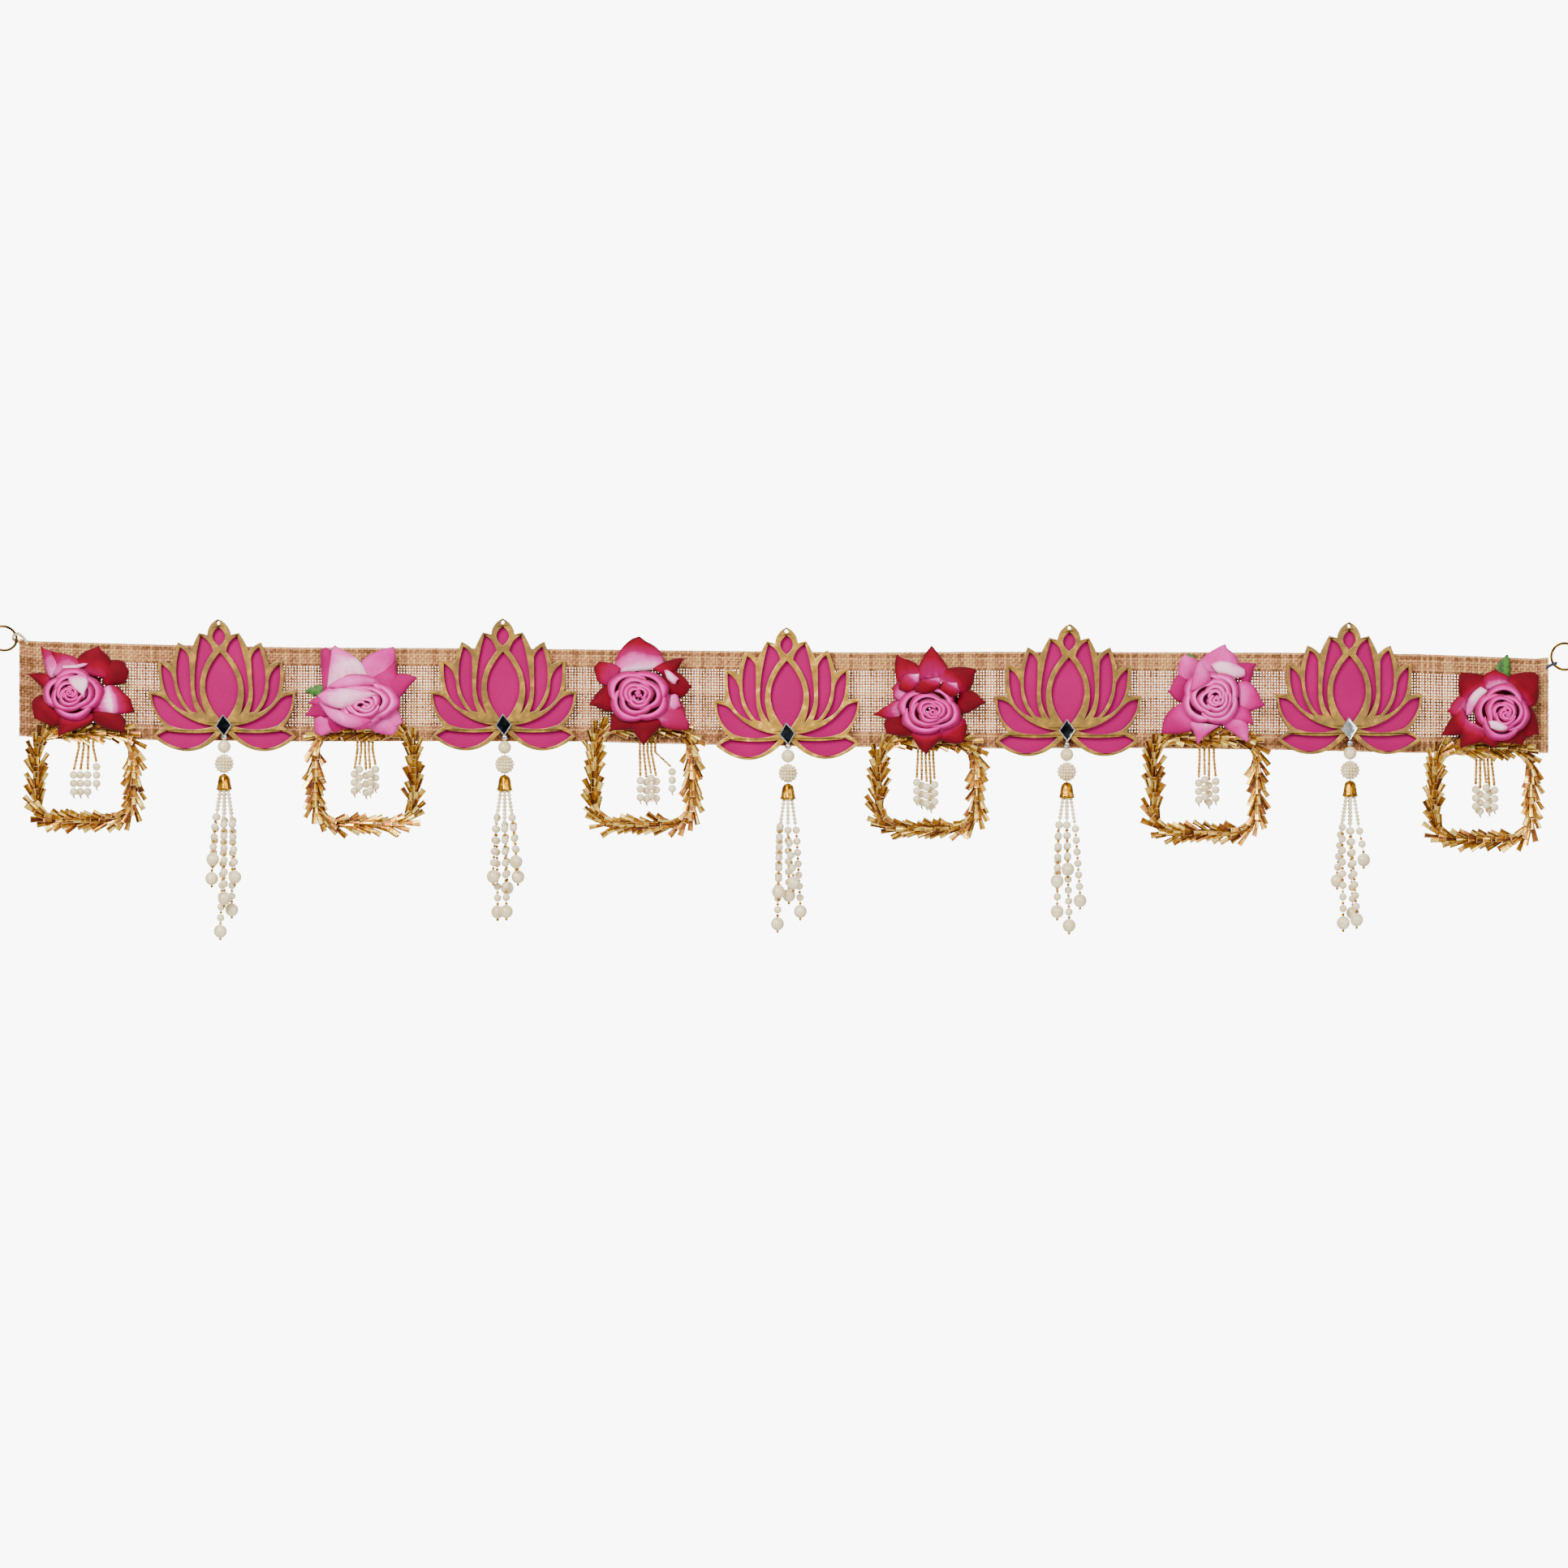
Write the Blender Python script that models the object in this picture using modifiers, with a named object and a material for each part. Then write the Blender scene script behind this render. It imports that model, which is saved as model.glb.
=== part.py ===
"""A toran: a jute door hanging with lotus plaques, cloth roses, foil squares and bead tassels.

Sizes are in millimetres and are turned to metres where a mesh is made. X runs along the door
head, Z is up, and the decorated side faces -Y. The origin is the middle of the top edge, on
the plane of the band's back. The band keeps the slight slope with which it hangs.
"""
import math

import bmesh
import bpy

MM = 0.001
GAP = 0.3

# The jute band: a loose weave with folded hems, flat in front and stepped behind.
HEM_THICK = 2.4
WEAVE_SHARE = 0.5
BAND_FRONT = -HEM_THICK
TOP_HEM = 12.0
BOTTOM_HEM = 11.0
LEFT_HEM = 20.0
RIGHT_HEM = 15.0
HEM_STEP = 0.6
# x along the band, height of the top edge, height of the bottom edge
BAND_EDGE = (
    (-482.3, 8.2, -53.8),
    (-474.1, 6.7, -54.5),
    (-399.9, 4.6, -56.3),
    (-305.2, 2.6, -57.3),
    (-223.2, 2.3, -57.1),
    (-130.0, 1.5, -57.3),
    (-45.1, 0.5, -59.4),
    (50.2, -0.5, -60.7),
    (131.1, 0.0, -61.7),
    (223.2, -0.3, -61.4),
    (308.2, -0.5, -62.5),
    (401.4, -1.5, -64.5),
    (474.1, -4.4, -64.5),
    (482.8, -3.5, -64.5),
)

# Split rings at the top corners, and the thread that ties each to the jute.
RING_OUTER = 18.4
RING_WIRE = 1.8
RING_DEPTH = -1.2
# name, x, height, lean in degrees
RINGS = (
    ("left", -492.3, 8.3, 28.0),
    ("right", 492.3, -3.1, 0.0),
)
THREAD = 1.2
THREAD_LEG = 2.8
THREAD_BEND = 6
# name, height of the tie, which way the leg runs
TIES = (
    ("left", 8.3, 1),
    ("right", -7.2, -1),
)

# Layers in front of the band, as y of the back face and y of the front face.
PLATE_LAYER = (-2.7, -5.2)
FRAME_LAYER = (-5.5, -8.0)
GEM_LAYER = (-8.3, -10.3)
PAD_LAYER = (-2.7, -3.9)
FOIL_LAYER = (-4.2, -8.7)
LEAF_LAYER = (-2.7, -3.7)

# A lotus plaque, from the middle of its gem. Each corner is x, height and the bulge of the side
# that leaves it, going clockwise; the left half is the right half mirrored.
ARC_TOLERANCE = 0.45
LOTUS_OUTLINE = (
    (0.0, 67.1, 1.8),
    (7.3, 57.0, 0.0),
    (12.4, 58.4, 0.3),
    (18.2, 46.8, 0.6),
    (26.1, 52.4, 0.2),
    (30.6, 37.9, 0.8),
    (38.9, 40.7, 0.9),
    (38.0, 20.9, 0.5),
    (46.2, 21.4, 2.0),
    (37.3, -1.0, 0.7),
    (45.1, -7.2, 10.5),
    (1.5, -4.2, 0.0),
)
LOTUS_HEART = (
    ((0.0, 62.2, 4.05), (0.0, 49.8, 4.05)),
    ((0.0, 46.2, 10.45), (0.0, 1.5, 10.45)),
)
LOTUS_PETALS = (
    ((11.6, 56.6, 1.0), (17.1, 25.6, 2.1), (10.4, 6.2, -6.2), (4.0, 46.6, 1.6)),
    ((24.9, 49.3, 1.3), (27.9, 26.9, 1.6), (19.6, 8.6, 0.0), (16.2, 8.0, -0.8), (19.4, 22.3, 0.0),
     (19.4, 42.6, 0.9)),
    ((37.3, 38.9, 0.7), (35.8, 22.0, 2.6), (21.6, 8.0, -1.6), (29.5, 25.0, 2.2)),
    ((44.4, 19.5, 2.8), (34.0, 0.0, 2.5), (5.9, -0.2, -3.1), (34.0, 14.3, 1.4)),
    ((42.6, -6.5, 9.2), (5.6, -3.9, -1.1), (36.0, -3.3, 0.4)),
)
NAIL_HOLE = 2.3
NAIL_HOLE_HEIGHT = 64.6
NAIL_HOLE_SIDES = 6
GEM_WIDE = 10.4
GEM_TALL = 14.2
GEM_TABLE = 0.72
# x and height of the gem, lean of the lotus, slant of its template (the top to the right where it
# is positive) and lean of the gem, in degrees
LOTUSES = (
    (-352.5, -46.7, 0.0, -3.2, -3.0),
    (-176.4, -46.3, 0.0, -0.6, -4.0),
    (2.1, -51.9, -0.7, 0.2, -6.0),
    (178.1, -49.8, 0.0, 1.4, -2.0),
    (355.7, -48.6, 0.0, 0.0, -5.0),
)

# Beads strung below each lotus.
SILVER_BEAD = 4.4
PEARL = 8.3
SEED_BALL = 12.3
PEARL_TO_BALL = 10.8
STRING = 1.0
STRING_TOP = -4.6
DROP_SIDES = 8
CAP_TALL = 10.0
# the bell cap, as radius and distance below its top
CAP_PROFILE = ((1.6, 0.0), (3.2, 1.1), (3.9, 4.0), (4.2, 8.2), (4.8, CAP_TALL))
CAP_SIDES = 8

# Bead strands under a cap: small seed pearls first, then pearls with gold spacers, then a drop.
STRAND_SIDES = 4
ROOT_CIRCLE = 2.7
ROOT_RADIUS = 1.15
SEED_RUN = 14.0
NECK_RADIUS = 0.8
STRAND_PEARL = 4.9
STRAND_PITCH = 7.1
END_PEARL = 8.3
STOPPER = 1.9
SPREAD_BELOW = 20.0
# where each strand stands in the bundle: x, depth, and depth of its end pearl
STRAND_PLACES = {
    "front_left": (-5.3, -2.65, -4.9),
    "front_middle": (0.0, -2.65, -7.0),
    "front_right": (5.3, -2.65, -4.9),
    "rear_left": (-5.3, 2.65, 1.6),
    "rear_middle": (0.0, 2.65, 1.6),
    "rear_right": (5.3, 2.65, 1.6),
}
# x and depth of the string, height of its pearl, then x and drop of each strand's end pearl
TASSELS = (
    (-352.5, -5.8, -59.9, {
        "front_left": (-6.6, 43.7), "front_middle": (1.0, 68.2), "front_right": (7.3, 54.8),
        "rear_left": (-8.0, 55.9), "rear_middle": (-2.6, 89.1), "rear_right": (4.6, 75.5)}),
    (-175.9, -5.8, -60.4, {
        "front_left": (-6.9, 54.0), "front_middle": (1.5, 75.9), "front_right": (7.4, 44.7),
        "rear_left": (-4.5, 76.5), "rear_middle": (1.5, 61.3), "rear_right": (8.3, 54.3)}),
    (2.5, -5.8, -65.9, {
        "front_left": (-6.0, 58.1), "front_middle": (3.4, 52.6),
        "rear_left": (-6.6, 78.4), "rear_middle": (0.6, 60.5), "rear_right": (7.8, 70.6)}),
    (178.1, -5.8, -65.0, {
        "front_left": (-6.4, 52.3), "front_middle": (0.2, 44.8), "front_right": (8.0, 64.6),
        "rear_left": (-6.0, 71.6), "rear_middle": (1.5, 80.4)}),
    (356.3, -6.9, -64.0, {
        "front_left": (-4.9, 79.5), "front_middle": (3.3, 77.5), "front_right": (8.0, 39.9),
        "rear_left": (-8.0, 53.2), "rear_middle": (1.9, 73.4)}),
)

# Cloth roses. A peg carries the outer petals, and the rolled inner petals sit on their middle.
PEG_RADIUS = 6.0
VALLEY_DIP = 0.14
# share of the outline's radius and depth of each ring of the outer petals, from the jute outwards
PETAL_RINGS = ((0.0, -2.7), (0.0, -8.9), (1.0, -9.3), (1.0, -10.4), (0.62, -13.0))
PETAL_BACK = -2.7
PETAL_TOP = -12.6
BLOOM_SIDES = 14
# share of the bloom's radius and depth of each ring, from the petals outwards
BLOOM_RINGS = (
    (0.55, -13.3), (1.0, -18.0), (0.90, -22.0), (0.70, -18.5), (0.60, -24.5), (0.42, -20.5),
    (0.30, -26.0), (0.16, -22.5),
)
BLOOM_BACK = -13.3
BLOOM_TIP = -25.0
BLOOM_SWIRL = 0.07
SWIRL_TURN = 2.1
# x and height of the middle, half width and half height of the bloom, then x and height of each
# petal's tip from the middle
ROSES = (
    (-448.0, -26.6, 17.5, 15.0, (
        (-20.1, 28.6), (14.4, 28.9), (32.8, 19.8), (34.0, 8.1), (39.4, -10.8), (31.3, -23.6),
        (0.0, -24.8), (-8.8, -26.5), (-23.8, -12.0), (-25.7, -3.2), (-27.2, 12.7))),
    (-262.0, -34.8, 23.5, 15.5, (
        (-28.9, 34.8), (-20.6, 36.7), (15.2, 37.0), (29.6, 17.6), (21.9, -8.7), (12.7, -17.9),
        (-31.8, -16.9), (-37.5, -4.4), (-34.3, 2.9))),
    (-90.6, -27.6, 17.5, 15.0, (
        (-4.2, 35.6), (3.8, 34.1), (26.5, 23.4), (31.5, 5.7), (33.4, -9.2), (31.0, -22.3),
        (2.4, -30.8), (-18.9, -21.8), (-30.8, -4.0), (-24.6, 21.3))),
    (92.2, -38.9, 17.5, 15.0, (
        (0.8, 41.2), (26.7, 27.9), (33.6, 7.1), (14.0, -19.1), (-4.6, -24.7), (-28.4, -10.8),
        (-35.0, -0.5), (-23.0, 15.7), (-21.3, 35.5))),
    (270.6, -30.9, 17.5, 15.0, (
        (4.4, 34.6), (24.7, 23.6), (29.8, -3.4), (23.2, -13.7), (20.3, -25.4), (-11.1, -26.9),
        (-32.9, -19.5), (-28.7, 6.4), (-20.8, 26.2))),
    (452.1, -39.6, 17.0, 14.5, (
        (18.1, 26.0), (20.8, 21.6), (21.8, -11.3), (10.3, -21.0), (-3.9, -19.6), (-27.7, -20.3),
        (-37.7, -8.8), (-28.9, 10.8), (-26.5, 23.6), (-5.9, 26.5))),
)

# Leaves beside three roses: rose number, x and height of the tip, length, width, lean in degrees.
LEAVES = (
    (2, -301.6, -24.6, 24.0, 8.4, -88.0),
    (5, 255.0, -1.0, 22.0, 9.0, -20.0),
    (6, 456.0, -2.0, 24.0, 10.0, 17.0),
)

# Squares of folded foil trim: the leaves make a saw edge on both sides.
FOIL_WIDE = 15.0
FOIL_CORNER = 13.0
FOIL_TEETH = 18
TOOTH_LENGTH = 0.86
TOOTH_HEEL = 0.72
# x and height of the middle, outer width, outer height, and the way that the leaves point
FOILS = (
    (-440.3, -78.8, 76.0, 70.7, 1),
    (-264.2, -79.1, 77.1, 74.2, -1),
    (-88.8, -78.8, 77.1, 75.8, 1),
    (90.4, -84.2, 76.9, 70.1, 1),
    (265.5, -84.3, 80.4, 75.0, 1),
    (440.1, -89.6, 76.3, 72.7, 1),
)

# Bead sprays inside the squares, on a pad stitched to the bottom hem.
PAD_WIDE = 12.0
PAD_TALL = 6.0
PAD_ABOVE_EDGE = 2.0
CHAIN_RADIUS = 0.55
CHAIN_STRAIGHT = 10.0
SPRAY_PEARL = 5.0
SPRAY_PITCH = 5.3
SPRAY_PEARLS = 3
SPRAY_SIDES = 4
# where each chain stands: x in strand pitches, depth, and how far its pearls hang below the first
SPRAY_PLACES = ((-1.0, -7.4, 0.0), (0.0, -7.4, 2.0), (1.0, -7.4, -1.0), (-0.5, -2.6, 3.0), (0.5, -2.6, 1.0))
# x, height of the first pearl, pitch of the chains, x of a stray chain or None
SPRAYS = (
    (-439.8, -77.8, 6.6, None),
    (-264.0, -76.3, 5.4, None),
    (-86.0, -81.0, 5.3, 16.0),
    (89.2, -83.5, 5.3, None),
    (266.4, -81.9, 5.3, None),
    (441.1, -87.0, 5.3, None),
)


def clear_scene():
    """Remove whatever the file opened with."""
    for old in list(bpy.data.objects):
        bpy.data.objects.remove(old, do_unlink=True)


def collection(name):
    """A new collection in the scene."""
    made = bpy.data.collections.new(name)
    bpy.context.scene.collection.children.link(made)
    return made


def linear(hex_colour):
    """An sRGB hex colour as linear red, green, blue and alpha."""
    parts = [int(hex_colour[i:i + 2], 16) / 255 for i in (1, 3, 5)]
    return [c / 12.92 if c <= 0.04045 else ((c + 0.055) / 1.055) ** 2.4 for c in parts] + [1.0]


def finish(name, hex_colour, roughness, metallic=0.0):
    """A material with one Principled shader."""
    made = bpy.data.materials.new(name)
    made.use_nodes = True
    shader = made.node_tree.nodes["Principled BSDF"]
    shader.inputs["Base Color"].default_value = linear(hex_colour)
    shader.inputs["Roughness"].default_value = roughness
    shader.inputs["Metallic"].default_value = metallic
    return made


def settle(obj, name, material, home):
    """Name an object, give it its material and keep it in one collection."""
    obj.name = name
    obj.data.name = name
    for user in list(obj.users_collection):
        user.objects.unlink(obj)
    home.objects.link(obj)
    obj.data.materials.clear()
    obj.data.materials.append(material)
    return obj


def as_mesh(obj):
    """Replace an object by its evaluated mesh, with doubled points merged."""
    bpy.context.view_layer.update()
    seen = obj.evaluated_get(bpy.context.evaluated_depsgraph_get())
    mesh = bpy.data.meshes.new_from_object(seen)
    shape = bmesh.new()
    shape.from_mesh(mesh)
    bmesh.ops.remove_doubles(shape, verts=shape.verts, dist=0.00001)
    shape.to_mesh(mesh)
    shape.free()
    made = bpy.data.objects.new(obj.name, mesh)
    made.matrix_world = obj.matrix_world
    bpy.data.objects.remove(obj, do_unlink=True)
    return made


def between(rows, x, column):
    """The value in one column of a table at x, on the straight line between its rows."""
    for low, high in zip(rows, rows[1:]):
        if x <= high[0]:
            share = (x - low[0]) / (high[0] - low[0])
            return low[column] + share * (high[column] - low[column])
    return rows[-1][column]


def turned(name, profile, sides):
    """A turned solid: the profile's radius and height rows run from top to bottom."""
    mesh = bpy.data.meshes.new(name)
    points = [(radius * MM, 0.0, height * MM) for radius, height in profile]
    edges = [(i, i + 1) for i in range(len(points) - 1)]
    mesh.from_pydata(points, edges, [])
    obj = bpy.data.objects.new(name, mesh)
    bpy.context.scene.collection.objects.link(obj)
    screw = obj.modifiers.new("turn", "SCREW")
    screw.steps = sides
    screw.render_steps = sides
    screw.use_merge_vertices = True
    screw.merge_threshold = 0.00001
    return obj


def join_by_union(obj, other, cutters):
    """Fuse another mesh object into this one, and keep it as a hidden operand."""
    for user in list(other.users_collection):
        user.objects.unlink(other)
    cutters.objects.link(other)
    other.hide_render = True
    other.display_type = "WIRE"
    union = obj.modifiers.new("roots", "BOOLEAN")
    union.operation = "UNION"
    union.solver = "EXACT"
    union.object = other


def merge_meshes(name, objects):
    """One object that holds several separate closed shapes, in world space."""
    shape = bmesh.new()
    for obj in objects:
        part = obj.data.copy()
        part.transform(obj.matrix_world)
        shape.from_mesh(part)
        bpy.data.meshes.remove(part)
        bpy.data.objects.remove(obj, do_unlink=True)
    mesh = bpy.data.meshes.new(name)
    shape.to_mesh(mesh)
    shape.free()
    made = bpy.data.objects.new(name, mesh)
    bpy.context.scene.collection.objects.link(made)
    return made


def side_points(start, end, bulge):
    """Points along one bulging side, without its end. A bulge goes to the left of the way."""
    count = max(1, math.ceil(math.sqrt(abs(bulge) / ARC_TOLERANCE)))
    run_x = end[0] - start[0]
    run_z = end[1] - start[1]
    length = math.hypot(run_x, run_z)
    points = []
    for step in range(count):
        share = step / count
        rise = 4 * bulge * share * (1 - share) / length
        points.append((start[0] + share * run_x - rise * run_z, start[1] + share * run_z + rise * run_x))
    return points


def closed_outline(corners):
    """The points of a closed outline with bulging sides."""
    points = []
    for corner, following in zip(corners, corners[1:] + corners[:1]):
        points += side_points(corner, following, corner[2])
    return points


def mirrored(points):
    """An outline turned over left to right."""
    return [(-x, z) for x, z in reversed(points)]


def whole_outline(half):
    """The full outline from the right half, which starts and ends near the middle line."""
    right = []
    for corner, following in zip(half, half[1:]):
        right += side_points(corner, following, corner[2])
    right.append(half[-1][:2])
    return right + mirrored(right[1:])


def slanted(outline, degrees):
    """An outline drawn a little out of true: its upper part pushed to one side."""
    slope = math.tan(math.radians(degrees))
    return [(x + slope * z, z) for x, z in outline]


def round_hole(height, diameter, sides):
    """A small round hole on the middle line."""
    turn = 2 * math.pi / sides
    return [(diameter / 2 * math.sin(i * turn), height + diameter / 2 * math.cos(i * turn))
            for i in range(sides)]


def flat_piece(name, outlines, layer):
    """A flat cut piece with holes: 2D outlines filled and extruded between two depths."""
    curve = bpy.data.curves.new(name, "CURVE")
    curve.dimensions = "2D"
    curve.fill_mode = "BOTH"
    curve.extrude = abs(layer[1] - layer[0]) / 2 * MM
    for outline in outlines:
        spline = curve.splines.new("POLY")
        spline.points.add(len(outline) - 1)
        for point, (x, z) in zip(spline.points, outline):
            point.co = (x * MM, z * MM, 0.0, 1.0)
        spline.use_cyclic_u = True
    obj = bpy.data.objects.new(name, curve)
    bpy.context.scene.collection.objects.link(obj)
    obj.location.y = (layer[0] + layer[1]) / 2 * MM
    obj.rotation_euler.x = math.radians(90)
    return obj


def make_band(material, home):
    """The jute strip: a grid on the edge table, thickened backwards and twice as thick at its hems."""
    left = BAND_EDGE[0][0]
    right = BAND_EDGE[-1][0]
    folds = [left + LEFT_HEM, left + LEFT_HEM + HEM_STEP, right - RIGHT_HEM - HEM_STEP, right - RIGHT_HEM]
    columns = sorted([row[0] for row in BAND_EDGE] + folds)
    rows = (("bottom", 0.0), ("bottom", BOTTOM_HEM), ("bottom", BOTTOM_HEM + HEM_STEP),
            ("top", TOP_HEM + HEM_STEP), ("top", TOP_HEM), ("top", 0.0))
    bpy.ops.mesh.primitive_grid_add(x_subdivisions=len(columns) - 1, y_subdivisions=len(rows) - 1, size=2)
    band = settle(bpy.context.object, "jute_band", material, home)
    hem = band.vertex_groups.new(name="hem")
    for vertex in band.data.vertices:
        x = columns[round((vertex.co.x + 1) / 2 * (len(columns) - 1))]
        edge, inset = rows[round((vertex.co.y + 1) / 2 * (len(rows) - 1))]
        z = between(BAND_EDGE, x, 1) - inset if edge == "top" else between(BAND_EDGE, x, 2) + inset
        vertex.co = (x * MM, BAND_FRONT * MM, z * MM)
        in_rows = inset <= (TOP_HEM if edge == "top" else BOTTOM_HEM)
        in_columns = x <= left + LEFT_HEM or x >= right - RIGHT_HEM
        hem.add([vertex.index], 1.0 if in_rows or in_columns else 0.0, "REPLACE")
    cloth = band.modifiers.new("cloth", "SOLIDIFY")
    cloth.thickness = HEM_THICK * MM
    cloth.offset = -1.0
    cloth.vertex_group = hem.name
    cloth.thickness_vertex_group = WEAVE_SHARE


def make_rings(material, home):
    """The split rings as closed tori, seen face on."""
    for name, x, z, lean in RINGS:
        bpy.ops.mesh.primitive_torus_add(
            major_radius=(RING_OUTER - RING_WIRE) / 2 * MM,
            minor_radius=RING_WIRE / 2 * MM,
            major_segments=20,
            minor_segments=6,
            location=(x * MM, RING_DEPTH * MM, z * MM),
            rotation=(math.radians(90 + lean), 0, 0),
        )
        ring = settle(bpy.context.object, "ring_" + name, material, home)
        ring.data.shade_smooth()


def make_ties(material, home):
    """A thread round each ring's wire, its two ends on the front and the back of the jute."""
    wire_circle = (RING_OUTER - RING_WIRE) / 2
    half = HEM_THICK / 2 + GAP + THREAD / 2
    for (name, z, way), (_, ring_x, ring_z, _) in zip(TIES, RINGS):
        wire_x = ring_x + way * math.sqrt(wire_circle ** 2 - (z - ring_z) ** 2)
        edge_x = BAND_EDGE[0][0] if way > 0 else BAND_EDGE[-1][0]
        leg_x = edge_x + way * THREAD_LEG
        points = [(leg_x, RING_DEPTH - half)]
        for step in range(THREAD_BEND + 1):
            angle = math.pi * step / THREAD_BEND
            points.append((wire_x - way * half * math.sin(angle), RING_DEPTH - half * math.cos(angle)))
        points.append((leg_x, RING_DEPTH + half))
        curve = bpy.data.curves.new("thread_" + name, "CURVE")
        curve.dimensions = "3D"
        curve.bevel_depth = THREAD / 2 * MM
        curve.bevel_resolution = 1
        curve.use_fill_caps = True
        spline = curve.splines.new("POLY")
        spline.points.add(len(points) - 1)
        for point, (x, y) in zip(spline.points, points):
            point.co = (x * MM, y * MM, z * MM, 1.0)
        thread = bpy.data.objects.new("thread_" + name, curve)
        settle(thread, "thread_" + name, material, home)


def make_lotuses(plate_paint, gold_paint, mirror, home):
    """Each lotus: a plate, a cut-out frame on it and a lozenge gem at its foot."""
    outline = whole_outline(LOTUS_OUTLINE)
    hole = round_hole(NAIL_HOLE_HEIGHT, NAIL_HOLE, NAIL_HOLE_SIDES)
    petals = [closed_outline(corners) for corners in LOTUS_PETALS]
    openings = [closed_outline(corners) for corners in LOTUS_HEART]
    openings += petals + [mirrored(petal) for petal in petals]
    for number, (x, z, lean, slant, gem_lean) in enumerate(LOTUSES, 1):
        name = f"lotus_{number}_"
        board = [slanted(path, slant) for path in (outline, hole)]
        cuts = [slanted(path, slant) for path in openings]
        plate = flat_piece(name + "plate", board, PLATE_LAYER)
        frame = flat_piece(name + "frame", board + cuts, FRAME_LAYER)
        for piece, material in ((plate, plate_paint), (frame, gold_paint)):
            piece.location.x = x * MM
            piece.location.z = z * MM
            piece.rotation_euler.y = math.radians(lean)
            settle(piece, piece.name, material, home)
        make_gem(name + "gem", x, z, gem_lean, mirror, home)


def make_gem(name, x, z, lean, material, home):
    """A lozenge with bevelled sides: a four-sided cone, cut off and stretched."""
    bpy.ops.mesh.primitive_cone_add(
        vertices=4,
        radius1=1.0,
        radius2=GEM_TABLE,
        depth=abs(GEM_LAYER[1] - GEM_LAYER[0]) * MM,
        location=(x * MM, sum(GEM_LAYER) / 2 * MM, z * MM),
        rotation=(math.radians(90), math.radians(lean), 0),
    )
    gem = settle(bpy.context.object, name, material, home)
    for vertex in gem.data.vertices:
        vertex.co.x *= GEM_WIDE / 2 * MM
        vertex.co.y *= GEM_TALL / 2 * MM


def ball_rows(height, diameter, count):
    """Rows of a turned ball, from near its top to near its bottom."""
    rows = []
    for step in range(count):
        angle = math.pi * (step + 0.5) / count
        rows.append((diameter / 2 * math.sin(angle), height + diameter / 2 * math.cos(angle)))
    return rows


def make_drops(material, home):
    """The silver bead, pearl and seed-pearl ball on their string, as one turned shape."""
    for number, ((x, y, pearl_z, _), lotus) in enumerate(zip(TASSELS, LOTUSES), 1):
        string_top = lotus[1] + STRING_TOP
        bead_z = pearl_z + (PEARL + SILVER_BEAD) / 2
        ball_z = pearl_z - PEARL_TO_BALL
        profile = [(0.0, string_top), (STRING / 2, string_top)]
        profile += ball_rows(bead_z, SILVER_BEAD, 3)
        profile += ball_rows(pearl_z, PEARL, 4)
        profile += ball_rows(ball_z, SEED_BALL, 5)
        profile.append((0.0, ball_z - SEED_BALL / 2))
        profile = [row for i, row in enumerate(profile) if i < 2 or row[1] < string_top]
        drop = turned(f"drop_{number}", profile, DROP_SIDES)
        drop.location = (x * MM, y * MM, 0)
        drop.rotation_euler.z = math.pi / DROP_SIDES
        settle(drop, drop.name, material, home)


def bead_strand(name, profile, sides, path):
    """A turned bead strand whose axis follows path, a function from height to x and y."""
    strand = as_mesh(turned(name, profile, sides))
    for vertex in strand.data.vertices:
        x, y = path(vertex.co.z / MM)
        vertex.co.x += x * MM
        vertex.co.y += y * MM
    return strand


def tassel_strand(name, root, place, end):
    """One strand of a tassel, hanging from height 0, with its root drawn up into the cap."""
    place_x, place_y, end_y = place
    end_x, length = end
    beads = max(1, int((length - SEED_RUN - END_PEARL / 2) / STRAND_PITCH))
    pitch = (length - SEED_RUN - END_PEARL / 2) / beads
    profile = [(0.0, CAP_TALL / 5), (ROOT_RADIUS, CAP_TALL / 5), (ROOT_RADIUS, -SEED_RUN)]
    for bead in range(beads):
        top = -SEED_RUN - bead * pitch
        profile.append((STRAND_PEARL / 2, top - STRAND_PEARL / 2))
        profile.append((NECK_RADIUS, top - pitch + STOPPER / 2))
    profile += ball_rows(-length, END_PEARL, 3)
    profile.append((STOPPER / 2, -length - END_PEARL / 2 - STOPPER / 2))
    profile.append((0.0, -length - END_PEARL / 2 - STOPPER))

    def path(z):
        if z > -SPREAD_BELOW:
            share = max(0.0, -z / SPREAD_BELOW)
            return root[0] + share * (place_x - root[0]), root[1] + share * (place_y - root[1])
        share = min(1.0, (-z - SPREAD_BELOW) / (length - END_PEARL / 2 - SPREAD_BELOW))
        return place_x + share * (end_x - place_x), place_y + share * (end_y - place_y)

    return bead_strand(name, profile, STRAND_SIDES, path)


def make_tassels(material, home, cutters):
    """Each tassel: a bell cap with its bead strands fused in at their roots."""
    for number, (x, y, pearl_z, strands) in enumerate(TASSELS, 1):
        name = f"tassel_{number}"
        cap_top = pearl_z - PEARL_TO_BALL - SEED_BALL / 2 - GAP
        profile = [(0.0, CAP_TALL)] + [(radius, CAP_TALL - down) for radius, down in CAP_PROFILE] + [(0.0, 0.0)]
        cap = turned(name, profile, CAP_SIDES)
        shapes = []
        for place_name, end in strands.items():
            place = STRAND_PLACES[place_name]
            away = math.atan2(place[1], place[0])
            root = (ROOT_CIRCLE * math.cos(away), ROOT_CIRCLE * math.sin(away))
            shapes.append(tassel_strand(name + "_" + place_name, root, place, end))
        bundle = merge_meshes(name + "_strands", shapes)
        for piece in (cap, bundle):
            piece.location = (x * MM, y * MM, (cap_top - CAP_TALL) * MM)
        settle(cap, name, material, home)
        join_by_union(cap, bundle, cutters)


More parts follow.
